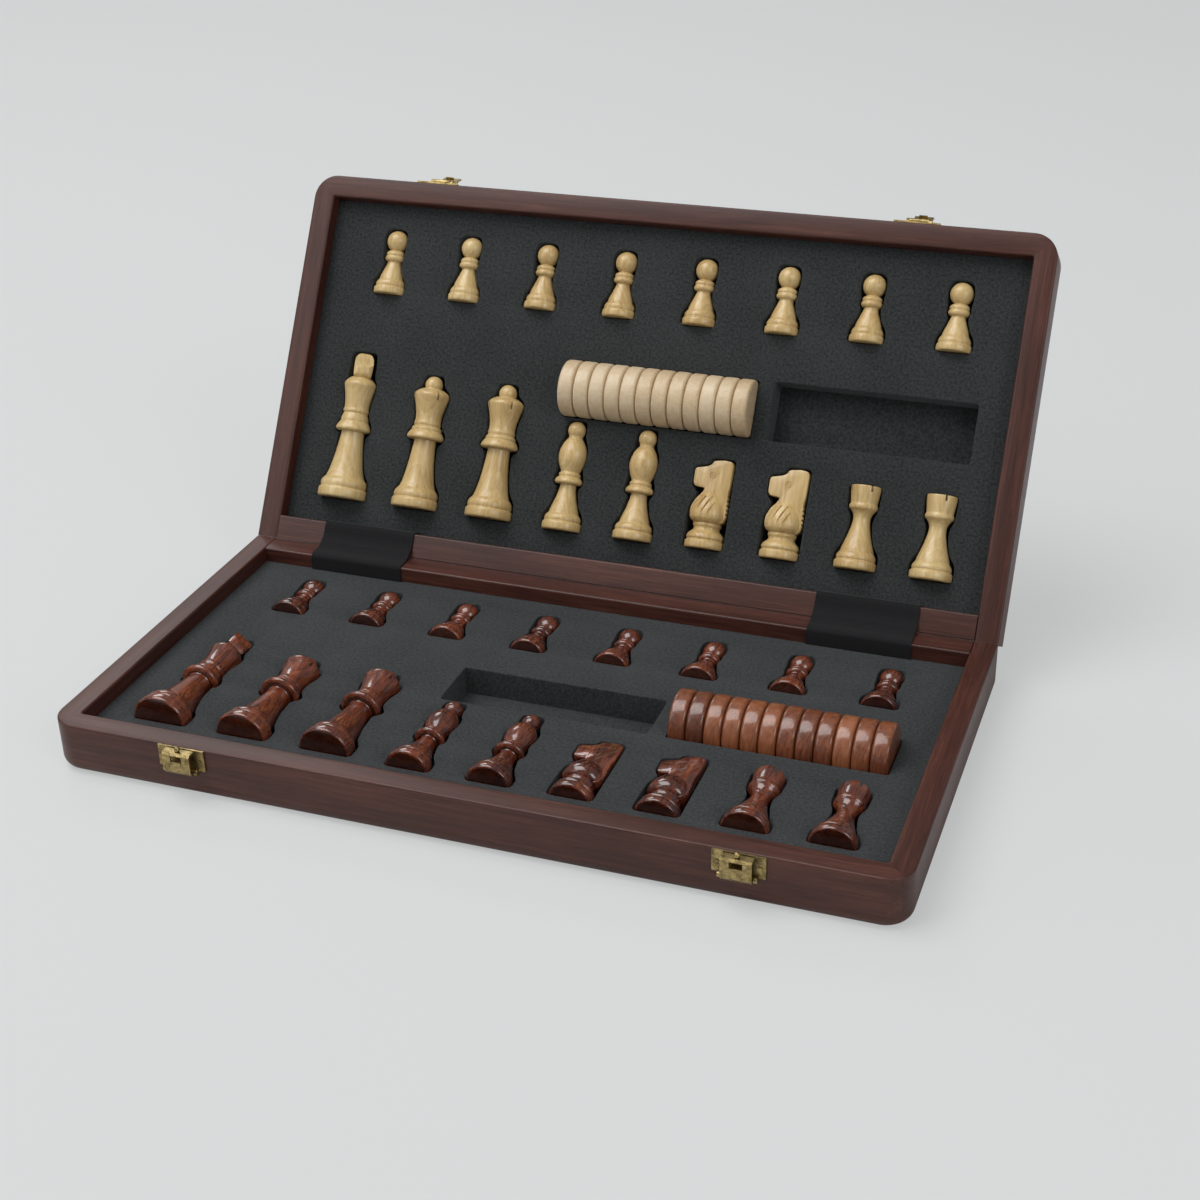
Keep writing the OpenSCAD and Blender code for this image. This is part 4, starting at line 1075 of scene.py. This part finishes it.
def strip_line():
    """The strip's middle line in the row frame, as (y, z) from the hinge axis."""
    half = [(-RAIL - 0.55, -RECESS - 5.5), (-RAIL - 0.55, -RECESS - 2), (-RAIL - 0.55, -RECESS),
            (-RAIL - 0.6, -RECESS + 2.5), (-RAIL - 0.5, -2.2), (-RAIL - 0.2, -0.5),
            (-RAIL + 0.5, 0.25), (-RAIL + 2.0, PROUD), (-7.5, PROUD), (-4.6, PROUD)]
    c, n = math.cos(math.radians(TILT)), math.sin(math.radians(TILT))
    middle = arc(0, 0, 2.15 + PROUD, 135, TILT + 45, 4)
    return half + middle + [(-a * c - b * n, -a * n + b * c) for a, b in half[::-1]]


def strip(x, name):
    """One strip: a sheet folded over both hinge rails, with a slight wave in its edge."""
    line = strip_line()
    v, f = [], []
    for i, (y, z) in enumerate(line):
        for j in range(STRIP_COLS + 1):
            u = j / STRIP_COLS - 0.5
            wave = 0.05 * math.sin(7 * u + i * 0.9 + x) if 1 < i < len(line) - 2 else 0
            v.append((x + STRIP_W * u, D / 2 + y, HH + z + 0.06 + wave))
    row = STRIP_COLS + 1
    for i in range(len(line) - 1):
        for k in range(i * row, i * row + STRIP_COLS):
            f.append([k, k + 1, k + row + 1, k + row])
    me = make_mesh(name, v, f, 80)
    o = new_object(name, me)
    me.materials.append(M["cloth"])
    o["seed"] = rnd.random()
    thick = o.modifiers.new("thickness", "SOLIDIFY")
    thick.thickness, thick.offset = CLOTH_T * MM, 0
    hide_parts("hinge_strips")
    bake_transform(o)


strip(-HINGE_X, "strip_left")
strip(HINGE_X, "strip_right")


# ---------------- looks of the pieces kept from the CAD
BEVEL = 0.12


def finish(node, mat, bevel=0.0):
    o = nodes[node]
    o.data.materials.clear()
    o.data.materials.append(mat)
    if bevel:
        m = o.modifiers.new("edge", "BEVEL")
        m.width, m.segments = bevel * MM, 2
        m.limit_method, m.angle_limit = "ANGLE", math.radians(35)


for n in ("base_panel", "lid_panel"):
    finish(n, M["core"])
for n in ("hinge_base_leaves", "hinge_lid_leaves", "hinge_pins", "hinge_base_screws",
          "hinge_lid_screws"):
    finish(n, M["plain_brass"])
for n in ("latch_plates", "hasp_plates", "hasp_left", "hasp_right"):
    finish(n, M["brass"], BEVEL)
for n in ("latch_lever_left", "latch_lever_right"):
    finish(n, M["brass"])


# ---------------- floor, light and camera, in metres
FLOOR_HALF, FLOOR_Z = 6.0, -0.0002
EVEN = 0.62                       # share of even grey in what the camera sees of the floor
SENSOR, FOCAL_PX, FRAME_PX = 36, 1950, 1200


def stage():
    """Pale floor, seen partly at an even level, so that it stays one grey to the corners."""
    me = bpy.data.meshes.new("floor")
    a = FLOOR_HALF
    me.from_pydata([(x, y, FLOOR_Z) for x, y in ((-a, -a), (a, -a), (a, a), (-a, a))],
                   [], [(0, 1, 2, 3)])
    o = new_object("floor", me)
    sh = Shader("floor")
    sh.set(Base_Color=(0.66, 0.675, 0.675, 1), Roughness=0.9, Specular_IOR_Level=0.1)
    even = sh.add("ShaderNodeEmission")
    even.inputs["Color"].default_value = (0.672, 0.686, 0.686, 1)
    path = sh.add("ShaderNodeLightPath")
    mix = sh.add("ShaderNodeMixShader")
    sh.link(sh.math("MULTIPLY", path.outputs["Is Camera Ray"], EVEN), mix.inputs[0])
    sh.link(sh.bsdf.outputs[0], mix.inputs[1])
    sh.link(even.outputs[0], mix.inputs[2])
    sh.link(mix.outputs[0], sh.tree.nodes["Material Output"].inputs["Surface"])
    me.materials.append(sh.mat)

    world = bpy.data.worlds.new("studio")
    world.use_nodes = True
    bpy.context.scene.world = world
    bg = world.node_tree.nodes["Background"]
    bg.inputs[0].default_value = (0.66, 0.68, 0.68, 1)
    bg.inputs[1].default_value = 0.42


def lamp(name, place, aim, size, power):
    light = bpy.data.lights.new(name, "AREA")
    light.shape, light.energy = "RECTANGLE", power
    light.size, light.size_y = size
    o = new_object(name, light)
    o.location = place
    o.rotation_mode = "QUATERNION"
    o.rotation_quaternion = (Vector(aim) - Vector(place)).to_track_quat("-Z", "Y")


stage()
lamp("key", (-0.9, -0.3, 2.4), (0, 0.05, 0.05), (1.9, 1.9), 49)
lamp("fill", (1.7, -1.0, 1.3), (0, 0.05, 0.08), (1.0, 1.0), 11)
lamp("side", (-1.7, -1.9, 1.6), (0, 0.1, 0.08), (1.3, 1.3), 9)
lamp("back", (-1.6, 1.9, 1.7), (0, 0.1, 0.08), (1.0, 0.7), 9)

PLACE = Vector((290.97, -687.87, 467.32)) * MM
LOOK = Vector((-0.30915, 0.82410, -0.47465)).normalized()
RIGHT = Vector((0.94045, 0.33909, -0.02380)).normalized()
UP = RIGHT.cross(LOOK).normalized()
cam = bpy.data.cameras.new("camera")
cam.sensor_width = SENSOR
cam.lens = SENSOR * FOCAL_PX / FRAME_PX
cam.clip_start, cam.clip_end = 0.05, 50
camera = new_object("camera", cam)
camera.matrix_world = Matrix((
    (RIGHT.x, UP.x, -LOOK.x, PLACE.x),
    (RIGHT.y, UP.y, -LOOK.y, PLACE.y),
    (RIGHT.z, UP.z, -LOOK.z, PLACE.z),
    (0, 0, 0, 1)))
bpy.context.scene.camera = camera
bpy.context.scene.view_settings.view_transform = "Standard"
